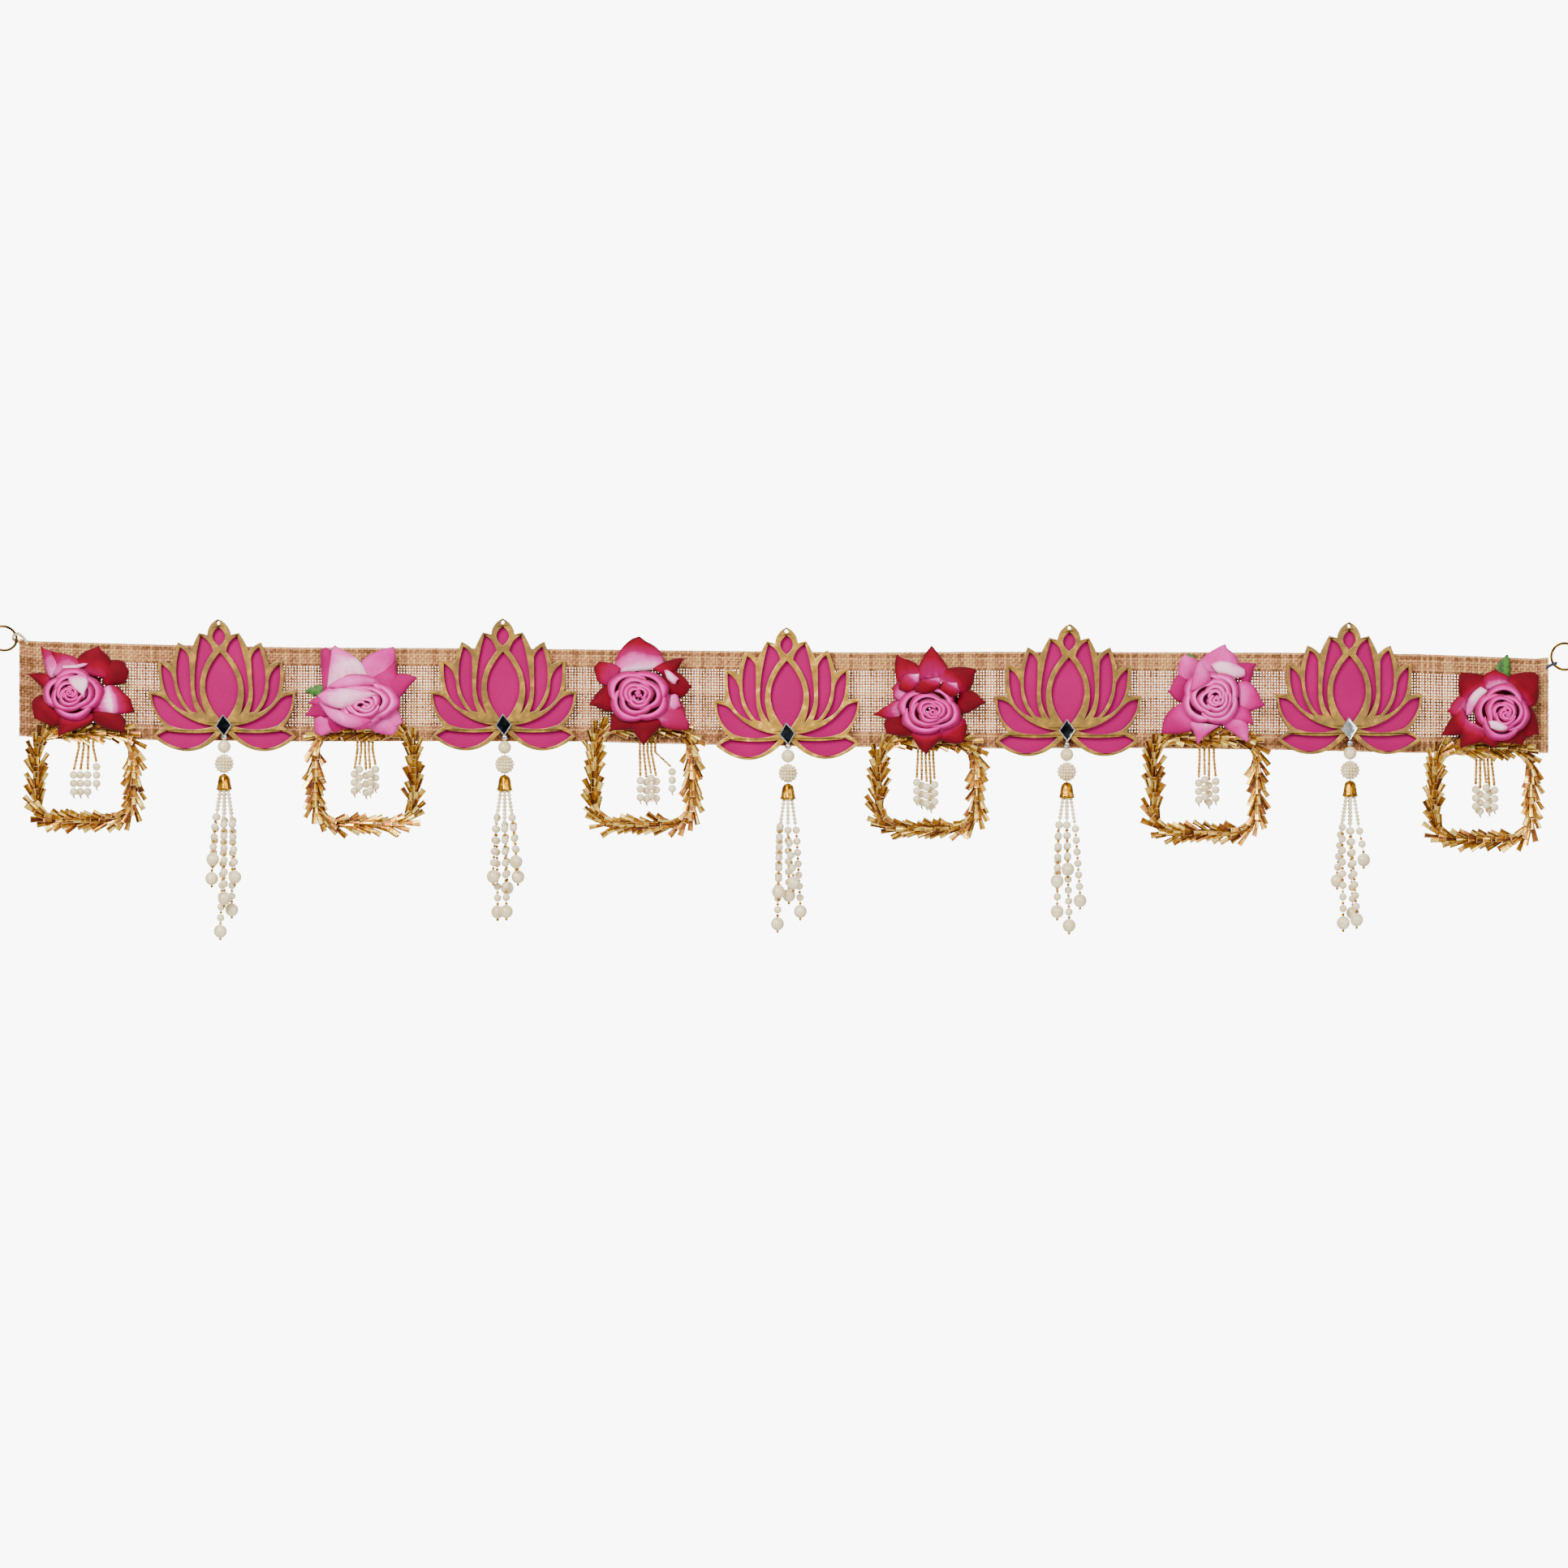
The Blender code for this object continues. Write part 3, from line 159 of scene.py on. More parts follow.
# For each rose: x and height of the middle, cloth, the bloom's place, half width and half height,
# and the place of its heart. Then each petal, from the back one: depth, how strongly it is dyed
# at base, middle and tip, three places up its left side and three up its right side.
ROSES = (
    (-448, -26.6, "crimson", (1.8, 0.4, 17.8, 15.6, 0.7, -0.3), (
        (-9.5, 0.1, 0.3, 0.9, -14.5, 9, -18.1, 21.1, -19.1, 28.6, -3.8, 13.9, -7.8, 24.2, -18.1,
         27.9),
        (-9.9, 0.5, 0.9, 1, -13.1, 10.4, -18.1, 13.2, -26.3, 12.1, -14.5, 1.1, -21.6, 6.8, -25.7,
         10.8),
        (-10.2, 0.8, 1, 1, 17.5, 13.9, 24.6, 21.3, 33.1, 19.9, 21.8, 4, 28.2, 5.4, 34.3, 6.8),
        (-10.6, 0.1, 0.5, 1, -11.7, 11.1, -13.1, 21.8, -11.7, 25, 11.8, 13.9, 1.8, 23.6, -9.5,
         24.8),
        (-11, 0.45, 0.9, 1, 0.4, 13.9, 4.7, 24.2, 14.7, 28.4, 23.2, 9, 26, 19.6, 18.6, 27),
        (-11.4, 0.7, 1, 1, -14.5, -0.3, -24.5, -3.1, -23.8, -11.7, -3.8, -15.9, -9.5, -21.6,
         -18.1, -17.4),
        (-11.8, 0.9, 1, 1, 11.8, -11.7, 16.1, -20.2, 31.7, -23.8, 21.8, -11.7, 33.1, -13.8, 33.1,
         -21.6),
        (-12.1, 0.5, 0, 0.95, 14.7, -0.3, 23.2, 5.4, 30.3, 3.7, 13.2, -11.7, 26, -13.8, 39.8,
         -11.4),
        (-12.5, 0.4, 0.85, 1, -6.7, -13.8, -7.8, -20.2, -8.4, -25.9, 14.7, -12.4, 11.8, -19.5,
         -4.6, -24.8),
        (-13.4, 0, 0, 0.1, -4.8, 17.5, 0.4, 17.4, 8.7, 19.2, -4.6, 15.4, 1.8, 14.8, 8.4, 17.1),
        (-25, 0.2, 0, 0.05, 0.1, 9.4, 1.8, 5.1, 8.7, -0.7, 7.8, 11.7, 12.8, 7.5, 9.5, -0.3),
    )),
    (-262, -34.8, "pink", (-4.5, 3.3, 23, 16.5, 0.4, -0.3), (
        (-9.5, 0.5, 0.8, 0.9, -28, 10.4, -29.4, 25.3, -29.2, 35.6, -16.6, 13.9, -16.6, 26.7,
         -22.3, 34.6),
        (-9.8, 0.3, 0.35, 0.45, -6.7, 18.2, -3.1, 30.3, 13.5, 37, 11.8, 16.8, 17.5, 26.7, 17.2,
         34.6),
        (-10.1, 0.6, 0.8, 0.95, 7.5, 15.4, 17.5, 21.1, 29.6, 18.9, 17.5, 1.1, 23.2, 9, 28.6, 15.1),
        (-10.4, 0.6, 0.7, 1, 1.8, 16.8, 9, 24.6, 16.4, 26.7, 16.1, 8.3, 20.3, 15.4, 17.5, 23.9),
        (-10.7, 0.3, 0.35, 0.4, 9, 1.1, 17.5, -0.3, 21.1, -6.7, 1.8, -13.1, 11.8, -15.9, 18.9,
         -12.4),
        (-11, 0.2, 0.3, 0.4, -3.8, -8.8, 1.8, -14.8, 11.8, -17.6, 14.7, -7.4, 19.6, -11, 18.2,
         -14.8),
        (-11.3, 0.3, 0.35, 0.45, -32.3, -4.6, -33.1, -10.2, -33.4, -15.9, -19.5, -10.2, -21.6,
         -14.5, -23.8, -16.6),
        (-11.6, 0.6, 0.9, 1, -28.7, 5.4, -33.7, 1.8, -37.7, -4.6, -22.3, -6, -29.4, -7.4, -36.3,
         -5.7),
        (-11.9, 0.3, 0.5, 0.8, -25.9, 10.4, -30.9, 6.8, -34.9, 3.7, -19.5, -1.7, -29.4, -1, -34.3,
         1.4),
        (-12.2, 0.6, 0.85, 0.95, -26.6, -6, -25.2, -11.7, -21.6, -15.2, -6.7, -10.2, -8.1, -12.8,
         -16.6, -14.2),
        (-12.5, 0, 0, 0.35, -25.2, 9, -23.5, 25.3, -22, 37, 0.4, 18.2, -4.6, 28.9, -16.6, 35.8),
        (-19, 0.3, 0.15, 0.35, -23.8, 12.5, -11.7, 19.6, 1.8, 18.2, -18.1, 10.4, -6.7, 11.8, 6.1,
         13.2),
        (-21, 0.3, 0.1, 0.5, -29.2, 2.6, -16.6, -2.4, 1.8, -7.4, -23.8, -6, -11.7, -13.8, 1.8,
         -11),
        (-23.5, 0.3, 0, 0.2, -30.2, 6.8, -16.6, 11.8, 4.7, 8.5, -26.6, 2.8, -14.5, -2, 4, 6),
    )),
    (-90.6, -27.6, "crimson", (-0.7, -0.9, 19.2, 16.5, -0.7, 0.2), (
        (-9.5, 0, 0.35, 1, -15.9, 13.9, -14.1, 26.7, -4.6, 35.6, 15.4, 16.8, 13.5, 27.5, 4, 33.6),
        (-9.9, 0.6, 0.9, 1, 7.5, 16.8, 15.4, 21.1, 26, 23.6, 17.5, 11.1, 23.2, 14.7, 25.3, 19.6),
        (-10.4, 0.4, 0.5, 0.95, -11.7, 17.5, -18.8, 20.3, -25.9, 21.1, -16.6, 4, -25.2, 6.8,
         -27.7, 11.8),
        (-10.8, 0.9, 1, 1, 13.2, 15.4, 23.2, 15.4, 31, 6.8, 17.5, -0.3, 26, -2.4, 30.6, 3.7),
        (-11.2, 0.6, 0.95, 1, -18.8, 6.8, -25.2, 3.7, -30.9, -4.6, -11, -11.7, -21.6, -10.2,
         -28.3, -6.7),
        (-11.6, 0.9, 1, 1, -15.2, -7.4, -18.1, -14.5, -18.3, -20.9, 1.8, -17.4, -3.8, -21.6,
         -15.9, -21.9),
        (-12.1, 0.1, 0.45, 0.6, 16.1, 1.1, 26, -3.1, 28.2, -13.1, 9, -15.9, 17.5, -21.6, 30.3,
         -21.9),
        (-12.5, 0.7, 1, 1, -11, -14.5, -5.3, -21.6, 1.1, -30.2, 14.7, -15.2, 13.2, -20.2, 4,
         -28.7),
        (-13.6, 0.1, 0, 0.2, 15.4, 15.4, 17.8, 15.6, 21.8, 12.5, 17.5, 9.7, 21.8, 6.5, 22.9, 9),
        (-13.4, 0.1, 0.2, 0.4, 19.6, -0.3, 23.5, 0.4, 24.6, -4.6, 18.9, -7.4, 21.8, -10.5, 24,
         -8.1),
    )),
    (92.2, -38.9, "crimson", (-1.4, 2, 19.5, 15, 1.8, 0.4), (
        (-9.5, 0.3, 0.6, 1, -11, 21.1, -6.7, 31.7, -1, 40.4, 13.2, 22.5, 10.1, 30.3, 2.6, 40.1),
        (-9.9, 0.3, 0.7, 1, -18.8, 13.9, -22.6, 25.3, -21.6, 35.6, -1, 19.6, -7.4, 30.7, -18.1,
         34.1),
        (-10.2, 0.2, 0.9, 1, 1.8, 22.5, 11.8, 28.9, 26, 28.2, 17.5, 12.5, 24.9, 13.9, 27.5, 23.9),
        (-10.6, 0.8, 1, 1, 17.5, 12.5, 26, 14.7, 33.4, 7.4, 16.1, -1.7, 24.6, 0.4, 32.9, 6),
        (-11, 0.2, 0.5, 1, -18.1, 11.1, -25.2, 6.1, -34.4, 0, -19.5, -4.6, -28, -3.4, -33.7, -1.4),
        (-11.4, 0.9, 1, 1, -19.5, -0.3, -29.4, -4.6, -28, -10.2, -9.5, -12.4, -15.2, -15.2, -23.8,
         -13.4),
        (-11.8, 0.1, 0.8, 1, 17.5, -0.3, 22.9, -6, 21.8, -13.8, 1.8, -11.7, 6.8, -17.6, 16.1,
         -19.5),
        (-12.1, 0.4, 0.9, 1, -13.1, -10.2, -9.8, -18.8, -4.1, -24.8, 10.4, -11, 5.4, -17.6, -0.7,
         -22.8),
        (-12.5, 0.1, 0.3, 0.95, -11, 12.5, -20.9, 19.6, -22.3, 15.4, -18.1, 6.8, -23.8, 9.4,
         -22.6, 13.1),
        (-15.5, 0.9, 0.5, 0, -20.2, 14.7, -17.4, 23.6, -10.2, 23.9, -11.7, 12.5, -7, 16.8, -7.8,
         21.3),
        (-19.5, 1, 0.8, 0.1, -10.2, 13.2, -7.8, 19.6, 0.4, 21.3, -1.7, 11.8, 4.7, 15.6, 5.8, 19.6),
        (-17.5, 0.9, 0.6, 0, 4.7, 15.4, 7.5, 19.9, 12.1, 18.5, 12.5, 9.7, 17.8, 12.2, 16.6, 16.1),
    )),
    (270.6, -30.9, "pink", (-2.1, 1.8, 18.5, 17, 0, 0.4), (
        (-9.5, 0.8, 0.9, 1, 10.4, 18.2, 14.7, 23.6, 24.6, 23.2, 20.3, 9.7, 23.5, 12.5, 24.6, 19.6),
        (-9.9, 0.35, 0.35, 0.3, -22.3, 9.7, -23, 19.6, -20.9, 26, -6.7, 16.8, -10.2, 25, -15.2,
         27),
        (-10.2, 0.7, 0.8, 0.9, -16.6, 15.4, -23.8, 16.1, -27.3, 6.8, -18.1, -1.7, -23.8, -0.3,
         -27.7, 4.7),
        (-10.6, 0.2, 0.35, 0.35, -13.1, 16.8, -8.8, 26, 4, 34.1, 16.1, 16.8, 14.7, 26.7, 8.3,
         32.1),
        (-11, 0.15, 0.5, 0.9, 14.7, 11.1, 23.5, 11.4, 29.9, -1.7, 16.1, -7.4, 23.2, -6.7, 29.6,
         -4),
        (-11.4, 0.3, 0.7, 1, -18.1, -0.3, -29.7, -7.4, -32.3, -15.9, -11, -15.9, -16.6, -20.2,
         -30.9, -21.1),
        (-11.8, 0.5, 0.7, 0.9, 16.1, -1.7, 22.5, -6, 23.5, -13.8, 7.5, -13.1, 14.7, -15.2, 21.8,
         -14.5),
        (-12.1, 0.3, 0.4, 0.3, 3.3, -13.1, 9, -18.8, 19.6, -25.6, 16.1, -10.2, 21.5, -14.5, 20.9,
         -23),
        (-12.5, 0.1, 0.35, 0.6, -18.1, -13.1, -13.5, -18.8, -11, -26.2, 3.3, -15.9, -2.4, -19.5,
         -8.8, -24.8),
        (-13.4, 0, 0, 0.15, -2.4, 22.5, 3.6, 24.9, 13.5, 22.8, 1.8, 16.5, 11.8, 13.7, 19.2, 15.6),
        (-21.5, 0.5, 0.35, 0.2, -15.9, 5.4, -14.9, 12.5, -11.2, 22.8, -7.8, 9, -2.4, 13.7, -7.5,
         21.1),
    )),
    (452.1, -39.6, "crimson", (-1.1, 1.2, 16.4, 17, -0.4, -0.3), (
        (-9.5, 0.3, 0.5, 0.8, -22.3, 11.1, -29.4, 10.8, -33.1, 2.8, -23.8, -6, -30.2, -3.8, -32.9,
         0.9),
        (-9.9, 0.1, 0.9, 1, -23.8, 6.8, -28, 13.9, -27.7, 23.2, -3.8, 16.8, -8.8, 23.9, -21.6,
         25.9),
        (-10.2, 0.3, 0.9, 1, -1, 18.2, 4.7, 25, 19.6, 26.5, 16.1, 4, 22.3, 7.5, 22.3, 18.2),
        (-10.6, 0.9, 1, 1, 14.7, 8.3, 20.6, 0.4, 22.3, -11, 7.5, -11.7, 11.8, -16.6, 19.6, -11.9),
        (-11, 0.5, 0.9, 1, -25.9, 5.4, -32.3, -1.7, -37.7, -11.4, -19.5, -10.2, -27.3, -13.4,
         -36.3, -13.1),
        (-11.4, 0, 0.6, 1, -11.7, 15.4, -12.7, 24.2, -6.4, 26.7, 3.3, 18.2, 3.3, 24.2, -3.1, 25.9),
        (-11.8, 0.9, 1, 1, -6.7, -11.7, -5.3, -17.4, 7.5, -18.2, 10.4, -7.4, 15.8, -11.7, 12.5,
         -17.6),
        (-12.1, 0.3, 0.8, 1, -25.9, -1.7, -26.6, -11.7, -27.3, -19.9, -8.1, -11.7, -8.8, -16.6,
         -23.8, -19.5),
        (-12.5, 0.6, 0.9, 1, -16.6, -11.7, -15.9, -16.6, -7.4, -19.9, -1, -11.7, -1, -16.6, -3.8,
         -19.3),
        (-14.5, 0, 0.05, 0.3, -14.5, 17.1, -21.6, 11.1, -23.8, 3.3, -10.2, 13.9, -17.1, 6.8,
         -20.6, -0.6),
        (-23.5, 0, 0, 0.15, -11, -4.8, -7, -4.3, -3.6, -5.7, -9.5, -8.5, -3.8, -10.5, 0.4, -9.7),
    )),
)
# rings of rolled petals: share of the bloom's radius at the lip's edge and at its crest, depth of
# each, petals, and the tone of the lip's edge: its dye, with painted shade where it falls away
BLOOM_RINGS = (
    (1.0, 0.79, -14.5, -18.0, 4, 0.45), (0.74, 0.57, -17.4, -21.0, 3, 0.45),
    (0.52, 0.38, -20.4, -23.6, 3, 0.4), (0.33, 0.22, -22.6, -25.0, 3, 0.45),
    (0.17, 0.09, -24.0, -25.6, 2, 0.5),
)
# the deepest that a rolled petal's wall reaches, and the depth of the cloth under the petals
BLOOM_FLOOR, UNDER_CLOTH = -11.0, -8.0

# rose number, x and height of the tip, length, width, lean in degrees
LEAVES = ((2, -301.6, -24.6, 24.0, 8.4, -88.0), (5, 255.0, -1.0, 22.0, 9.0, -20.0),
          (6, 456.0, -2.0, 24.0, 10.0, 17.0))
LEAF_DEPTH, LEAF_THICK = -3.1, 0.3

# x and height of the middle, outer width, outer height, and the way that the leaves point
FOILS = (
    (-440.3, -78.8, 76.0, 70.7, 1), (-264.2, -79.1, 77.1, 74.2, -1),
    (-88.8, -78.8, 77.1, 75.8, 1), (90.4, -84.2, 76.9, 70.1, 1),
    (265.5, -84.3, 80.4, 75.0, 1), (440.1, -89.6, 76.3, 72.7, 1),
)
FOIL_WIDE, FOIL_CORNER, FOIL_BACK = 15.0, 13.0, -4.4
TAPE_HALF, TAPE_STEPS, FOIL_THICK = 2.4, 60, 0.12


# each light: name, place, size and power, in metres and watts
LIGHTS = (("key", (-1.1, -2.1, 1.3), 1.3, 120.0), ("fill", (1.5, -2.3, 0.4), 1.6, 42.0),
          ("back", (0.3, 1.8, 1.1), 1.4, 50.0))
# strength of the white behind the hanging, and of the white that lights it
WHITE_SEEN, WHITE_LIT = 9.0, 0.6


def linear(hex_colour):
    """An sRGB hex colour as linear red, green, blue and alpha."""
    parts = [int(hex_colour[i:i + 2], 16) / 255 for i in (1, 3, 5)]
    return [c / 12.92 if c <= 0.04045 else ((c + 0.055) / 1.055) ** 2.4 for c in parts] + [1.0]


def colour(name, description, hex_colour):
    """A colour property."""
    return FloatVectorProperty(name=name, description=description, subtype="COLOR", size=4,
                               min=0.0, max=1.0, default=linear(hex_colour))


def length(name, description, millimetres):
    """A length property."""
    return FloatProperty(name=name, description=description, unit="LENGTH", precision=5,
                         min=0.0, default=millimetres * MM)


class JuteSettings(bpy.types.PropertyGroup):
    """The woven strip."""
    spacing: length("Thread spacing", "From one jute thread to the next", 1.8)
    thread: length("Thread width", "Width of one flattened jute thread", 1.34)
    light: colour("Light jute", "The palest threads", "#D2A265")
    dark: colour("Dark jute", "The darkest threads", "#6E4A26")
    fleck: colour("Fleck", "Short reddish brown fibres", "#A8714E")


class LotusSettings(bpy.types.PropertyGroup):
    """The lotus plaques."""
    line: length("Edge", "Width of the raised line along each cut", 0.45)
    pink: colour("Plate", "Paint of the back plate", "#A00058")
    gold: colour("Frame", "Paint of the cut-out frame", "#8A6410")
    burnt: colour("Cut edge", "Brown of the scorched cut edge", "#2E1608")
    # the mirror's colour is a painted dark reflection
    mirror: colour("Mirror", "The lozenge mirror", "#3A3F44")


class BeadSettings(bpy.types.PropertyGroup):
    """The beads of the tassels and sprays."""
    strung_pearl: length("Strung pearl", "Diameter of the pearl under a lotus", 8.3)
    seed_ball: length("Seed ball", "Diameter of the ball of seed pearls", 12.3)
    end_pearl: length("End pearl", "Diameter of the pearl that ends a strand", 8.2)
    strand_pearl: length("Strand pearl", "Diameter of the pearls along a strand", 4.8)
    seed_pearl: length("Seed pearl", "Diameter of the pearls under a cap", 2.5)
    spacer: length("Spacer", "Diameter of the gold beads between pearls", 2.0)
    spray_pearl: length("Spray pearl", "Diameter of the pearls of a spray", 5.0)
    pearl: colour("Pearl", "Pearl coating", "#FFF0C6")
    gold: colour("Gold", "Plating of caps and spacers", "#C88C10")
    chain: colour("Chain", "Gold seed beads of the sprays", "#D09A30")


class RoseSettings(bpy.types.PropertyGroup):
    """The cloth roses."""
    cloth: length("Cloth", "Thickness of a petal", 0.4)
    crimson: colour("Crimson", "Tips of the red petals", "#80001C")
    magenta: colour("Magenta", "Tips of the pink petals", "#92044E")
    blush: colour("Blush", "Middles of the pink petals", "#C41E80")
    cream: colour("Cream", "Bases of the petals", "#FFC4DA")
    leaf: colour("Leaf", "Green of the leaves", "#3E7A10")


class FoilSettings(bpy.types.PropertyGroup):
    """The foil squares."""
    leaves: IntProperty(name="Leaves", description="Foil leaves in each row of a square",
                        default=46, min=20, max=120)
    leaf_length: length("Leaf length", "Length of one folded leaf", 10.6)
    leaf_width: length("Leaf width", "Width of one folded leaf", 3.9)
    gold: colour("Foil", "Lit side of the foil", "#B27A04")
    brown: colour("Foil shade", "Shaded folds of the foil", "#451A04")
    edge: colour("Cut edge", "Pale cut edges of the leaves", "#D0A070")


class StageSettings(bpy.types.PropertyGroup):
    """The camera and the light."""
    distance: FloatProperty(name="Camera distance", description="From the camera to the hanging",
                            default=3.0, min=1.0, unit="LENGTH")
    width: FloatProperty(name="View width", description="Width that the picture takes in",
                         default=0.9892, min=0.1, unit="LENGTH")
    height: FloatProperty(name="View height", description="Height of the picture's middle",
                          default=-0.0835, unit="LENGTH")
    floor: FloatProperty(name="Floor height", description="Height of the floor",
                         default=-0.9, unit="LENGTH")
    pale: colour("Floor", "Pale matt floor", "#E9E8E6")


def add_node(tree, kind, inputs=None, **settings):
    """Add one shader node with its settings, its values and its links."""
    made = tree.nodes.new(kind)
    for name, value in settings.items():
        setattr(made, name, value)
    for name, value in (inputs or {}).items():
        if isinstance(value, bpy.types.NodeSocket):
            tree.links.new(value, made.inputs[name])
        else:
            made.inputs[name].default_value = value
    return made


def finish_of(name, tones, grain_mm, relief_mm, values, mark="", grain_share=1.0):
    """A finish whose tone follows a grain of real size, and a mark on the mesh where it has one."""
    made = bpy.data.materials.new(name)
    made.use_nodes = True
    tree = made.node_tree
    shader = tree.nodes["Principled BSDF"]
    for socket, value in values.items():
        shader.inputs[socket].default_value = value
    place = add_node(tree, "ShaderNodeTexCoord").outputs["Object"]
    grain = add_node(tree, "ShaderNodeTexNoise",
                     {"Vector": place, "Scale": 1000.0 / grain_mm, "Detail": 3.0}).outputs["Fac"]
    spread = add_node(tree, "ShaderNodeMapRange", {
        "Value": grain, "From Min": 0.3, "From Max": 0.7, "To Min": -0.5 * grain_share,
        "To Max": 0.5 * grain_share}).outputs["Result"]
    middle = 0.5
    if mark:
        middle = add_node(tree, "ShaderNodeAttribute", attribute_name=mark).outputs["Fac"]
    level = add_node(tree, "ShaderNodeMath", {0: spread, 1: middle}, operation="ADD").outputs[0]
    ramp = add_node(tree, "ShaderNodeValToRGB", {"Fac": level})
    stops = ramp.color_ramp.elements
    while len(stops) < len(tones):
        stops.new(0.5)
    for stop, (position, tone) in zip(stops, tones):
        stop.position = position
        stop.color = linear(tone) if isinstance(tone, str) else list(tone)
    tree.links.new(ramp.outputs["Color"], shader.inputs["Base Color"])
    fine = add_node(tree, "ShaderNodeTexNoise",
                    {"Vector": place, "Scale": 1000.0 / relief_mm, "Detail": 2.0}).outputs["Fac"]
    bump = add_node(tree, "ShaderNodeBump", {
        "Height": fine, "Strength": 0.35, "Distance": 0.2 * relief_mm * MM})
    tree.links.new(bump.outputs["Normal"], shader.inputs["Normal"])
    return made


def pearl_finish(name, pearl):
    """Coated plastic pearl: creamy, with a clear gloss over a soft body."""
    return finish_of(name, ((0.0, "#DCC488"), (1.0, pearl)), 6.0, 3.0, {
        "Roughness": 0.3, "Coat Weight": 0.6, "Coat Roughness": 0.1, "Specular IOR Level": 0.6})


def select_only(obj):
    """Make one object the selected and active one."""
    bpy.ops.object.select_all(action="DESELECT")
    obj.select_set(True)
    bpy.context.view_layer.objects.active = obj


def apply_all(obj):
    """Apply the modifiers and the place of an object."""
    select_only(obj)
    for modifier in list(obj.modifiers):
        bpy.ops.object.modifier_apply(modifier=modifier.name)
    bpy.ops.object.transform_apply(location=True, rotation=True, scale=True)


def finish_piece(obj, name, slot, materials, *nodes):
    """Name a finished piece, give it its finish and tie it to the frame."""
    apply_all(obj)
    obj.name = name
    obj.data.name = name
    obj.data.materials.clear()
    for material in materials:
        obj.data.materials.append(material)
    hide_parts(*nodes)
    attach(obj, "root")
    return obj


def from_shape(name, shape):
    """An object from a bmesh."""
    mesh = bpy.data.meshes.new(name)
    shape.to_mesh(mesh)
    shape.free()
    made = bpy.data.objects.new(name, mesh)
    bpy.context.scene.collection.objects.link(made)
    return made


def sheet_piece(name, points, faces, **marks):
    """A mesh from points in millimetres, with float marks for its material."""
    mesh = bpy.data.meshes.new(name)
    mesh.from_pydata([(x * MM, y * MM, z * MM) for x, y, z in points], [], faces)
    for mark, values in marks.items():
        domain = "FACE" if len(values) == len(faces) else "POINT"
        mesh.attributes.new(mark, "FLOAT", domain).data.foreach_set("value", values)
    made = bpy.data.objects.new(name, mesh)
    bpy.context.scene.collection.objects.link(made)
    return made


def ball(segments, rings):
    """One smooth ball of radius one, to be copied."""
    bpy.ops.object.select_all(action="DESELECT")
    bpy.ops.mesh.primitive_uv_sphere_add(segments=segments, ring_count=rings, radius=1.0)
    bpy.ops.object.shade_smooth()
    return bpy.context.object


def at(x, y, z, wide, tall=None):
    """The place of a ball of that width and height, in millimetres."""
    size = Matrix.Diagonal((wide / 2 * MM, wide / 2 * MM, (tall or wide) / 2 * MM, 1.0))
    return Matrix.Translation(Vector((x, y, z)) * MM) @ size


def copies(name, model, places):
    """Copies of a modelled shape, one at each place, as one object."""
    shape = bmesh.new()
    for place in places:
        part = model.data.copy()
        part.transform(place)
        shape.from_mesh(part)
        bpy.data.meshes.remove(part)
    return from_shape(name, shape)


def discard(*models):
    """Remove shapes that were only copied."""
    for model in models:
        bpy.data.objects.remove(model, do_unlink=True)


def tube(name, paths, radius):
    """Round wires or threads along paths in millimetres."""
    curve = bpy.data.curves.new(name, "CURVE")
    curve.dimensions = "3D"
    curve.bevel_depth = radius * MM
    curve.bevel_resolution = 2
    curve.use_fill_caps = True
    for path in paths:
        spline = curve.splines.new("POLY")
        spline.points.add(len(path) - 1)
        for point, (x, y, z) in zip(spline.points, path):
            point.co = (x * MM, y * MM, z * MM, 1.0)
    made = bpy.data.objects.new(name, curve)
    bpy.context.scene.collection.objects.link(made)
    select_only(made)
    bpy.ops.object.convert(target="MESH")
    bpy.ops.object.shade_smooth()
    return bpy.context.object


def between(rows, x, column):
    """The value in one column of a table at x, on the straight line between its rows."""
    for low, high in zip(rows, rows[1:]):
        if x <= high[0]:
            share = (x - low[0]) / (high[0] - low[0])
            return low[column] + share * (high[column] - low[column])
    return rows[-1][column]


def weave_layer(cloth, columns, rows, heights, depth, fold=None):
    """Cross threads as one holed layer: a patch at each crossing and links between them."""
    points, faces, tones, pick, thread = cloth
    start = len(points)
    column_tone = [pick.uniform(0.1, 0.9) for _ in columns]
    row_tone = [pick.uniform(0.1, 0.9) for _ in rows]
    row_half = [thread * pick.uniform(0.42, 0.58) for _ in rows]
    for i, x in enumerate(columns):
        half = thread * pick.uniform(0.42, 0.58)
        for j, row in enumerate(rows):
            z = heights(x, row) + pick.uniform(-0.08, 0.08)
            over = depth - WEAVE_RELIEF * (1 if (i + j) % 2 else -1)
            shift = pick.uniform(-0.08, 0.08)
            for side, up in ((-1, 1), (1, 1), (1, -1), (-1, -1)):
                points.append((x + shift + side * half, over, z + up * row_half[j]))
                tones.append(0.5 * (column_tone[i] + row_tone[j]))

    def corner(i, j, k):
        return start + 4 * (i * len(rows) + j) + k

    for i in range(len(columns)):
        for j in range(len(rows)):
            faces.append([corner(i, j, k) for k in (3, 2, 1, 0)])
            if i + 1 < len(columns):
                faces.append([corner(i, j, 1), corner(i, j, 2),
                              corner(i + 1, j, 3), corner(i + 1, j, 0)])
            if j + 1 < len(rows):
                faces.append([corner(i, j, 2), corner(i, j, 3),
                              corner(i, j + 1, 0), corner(i, j + 1, 1)])
    if fold is None:
        return
    last_column, last_row = len(columns) - 1, len(rows) - 1
    edges = [(i, j, pair) for i in range(len(columns)) for j, pair in ((0, (0, 1)), (last_row, (2, 3)))]
    edges += [(i, j, pair) for j in range(len(rows)) for i, pair in ((0, (3, 0)), (last_column, (1, 2)))]
    for i, j, pair in edges:
        turn_in(points, faces, tones, [corner(i, j, k) for k in pair], fold)


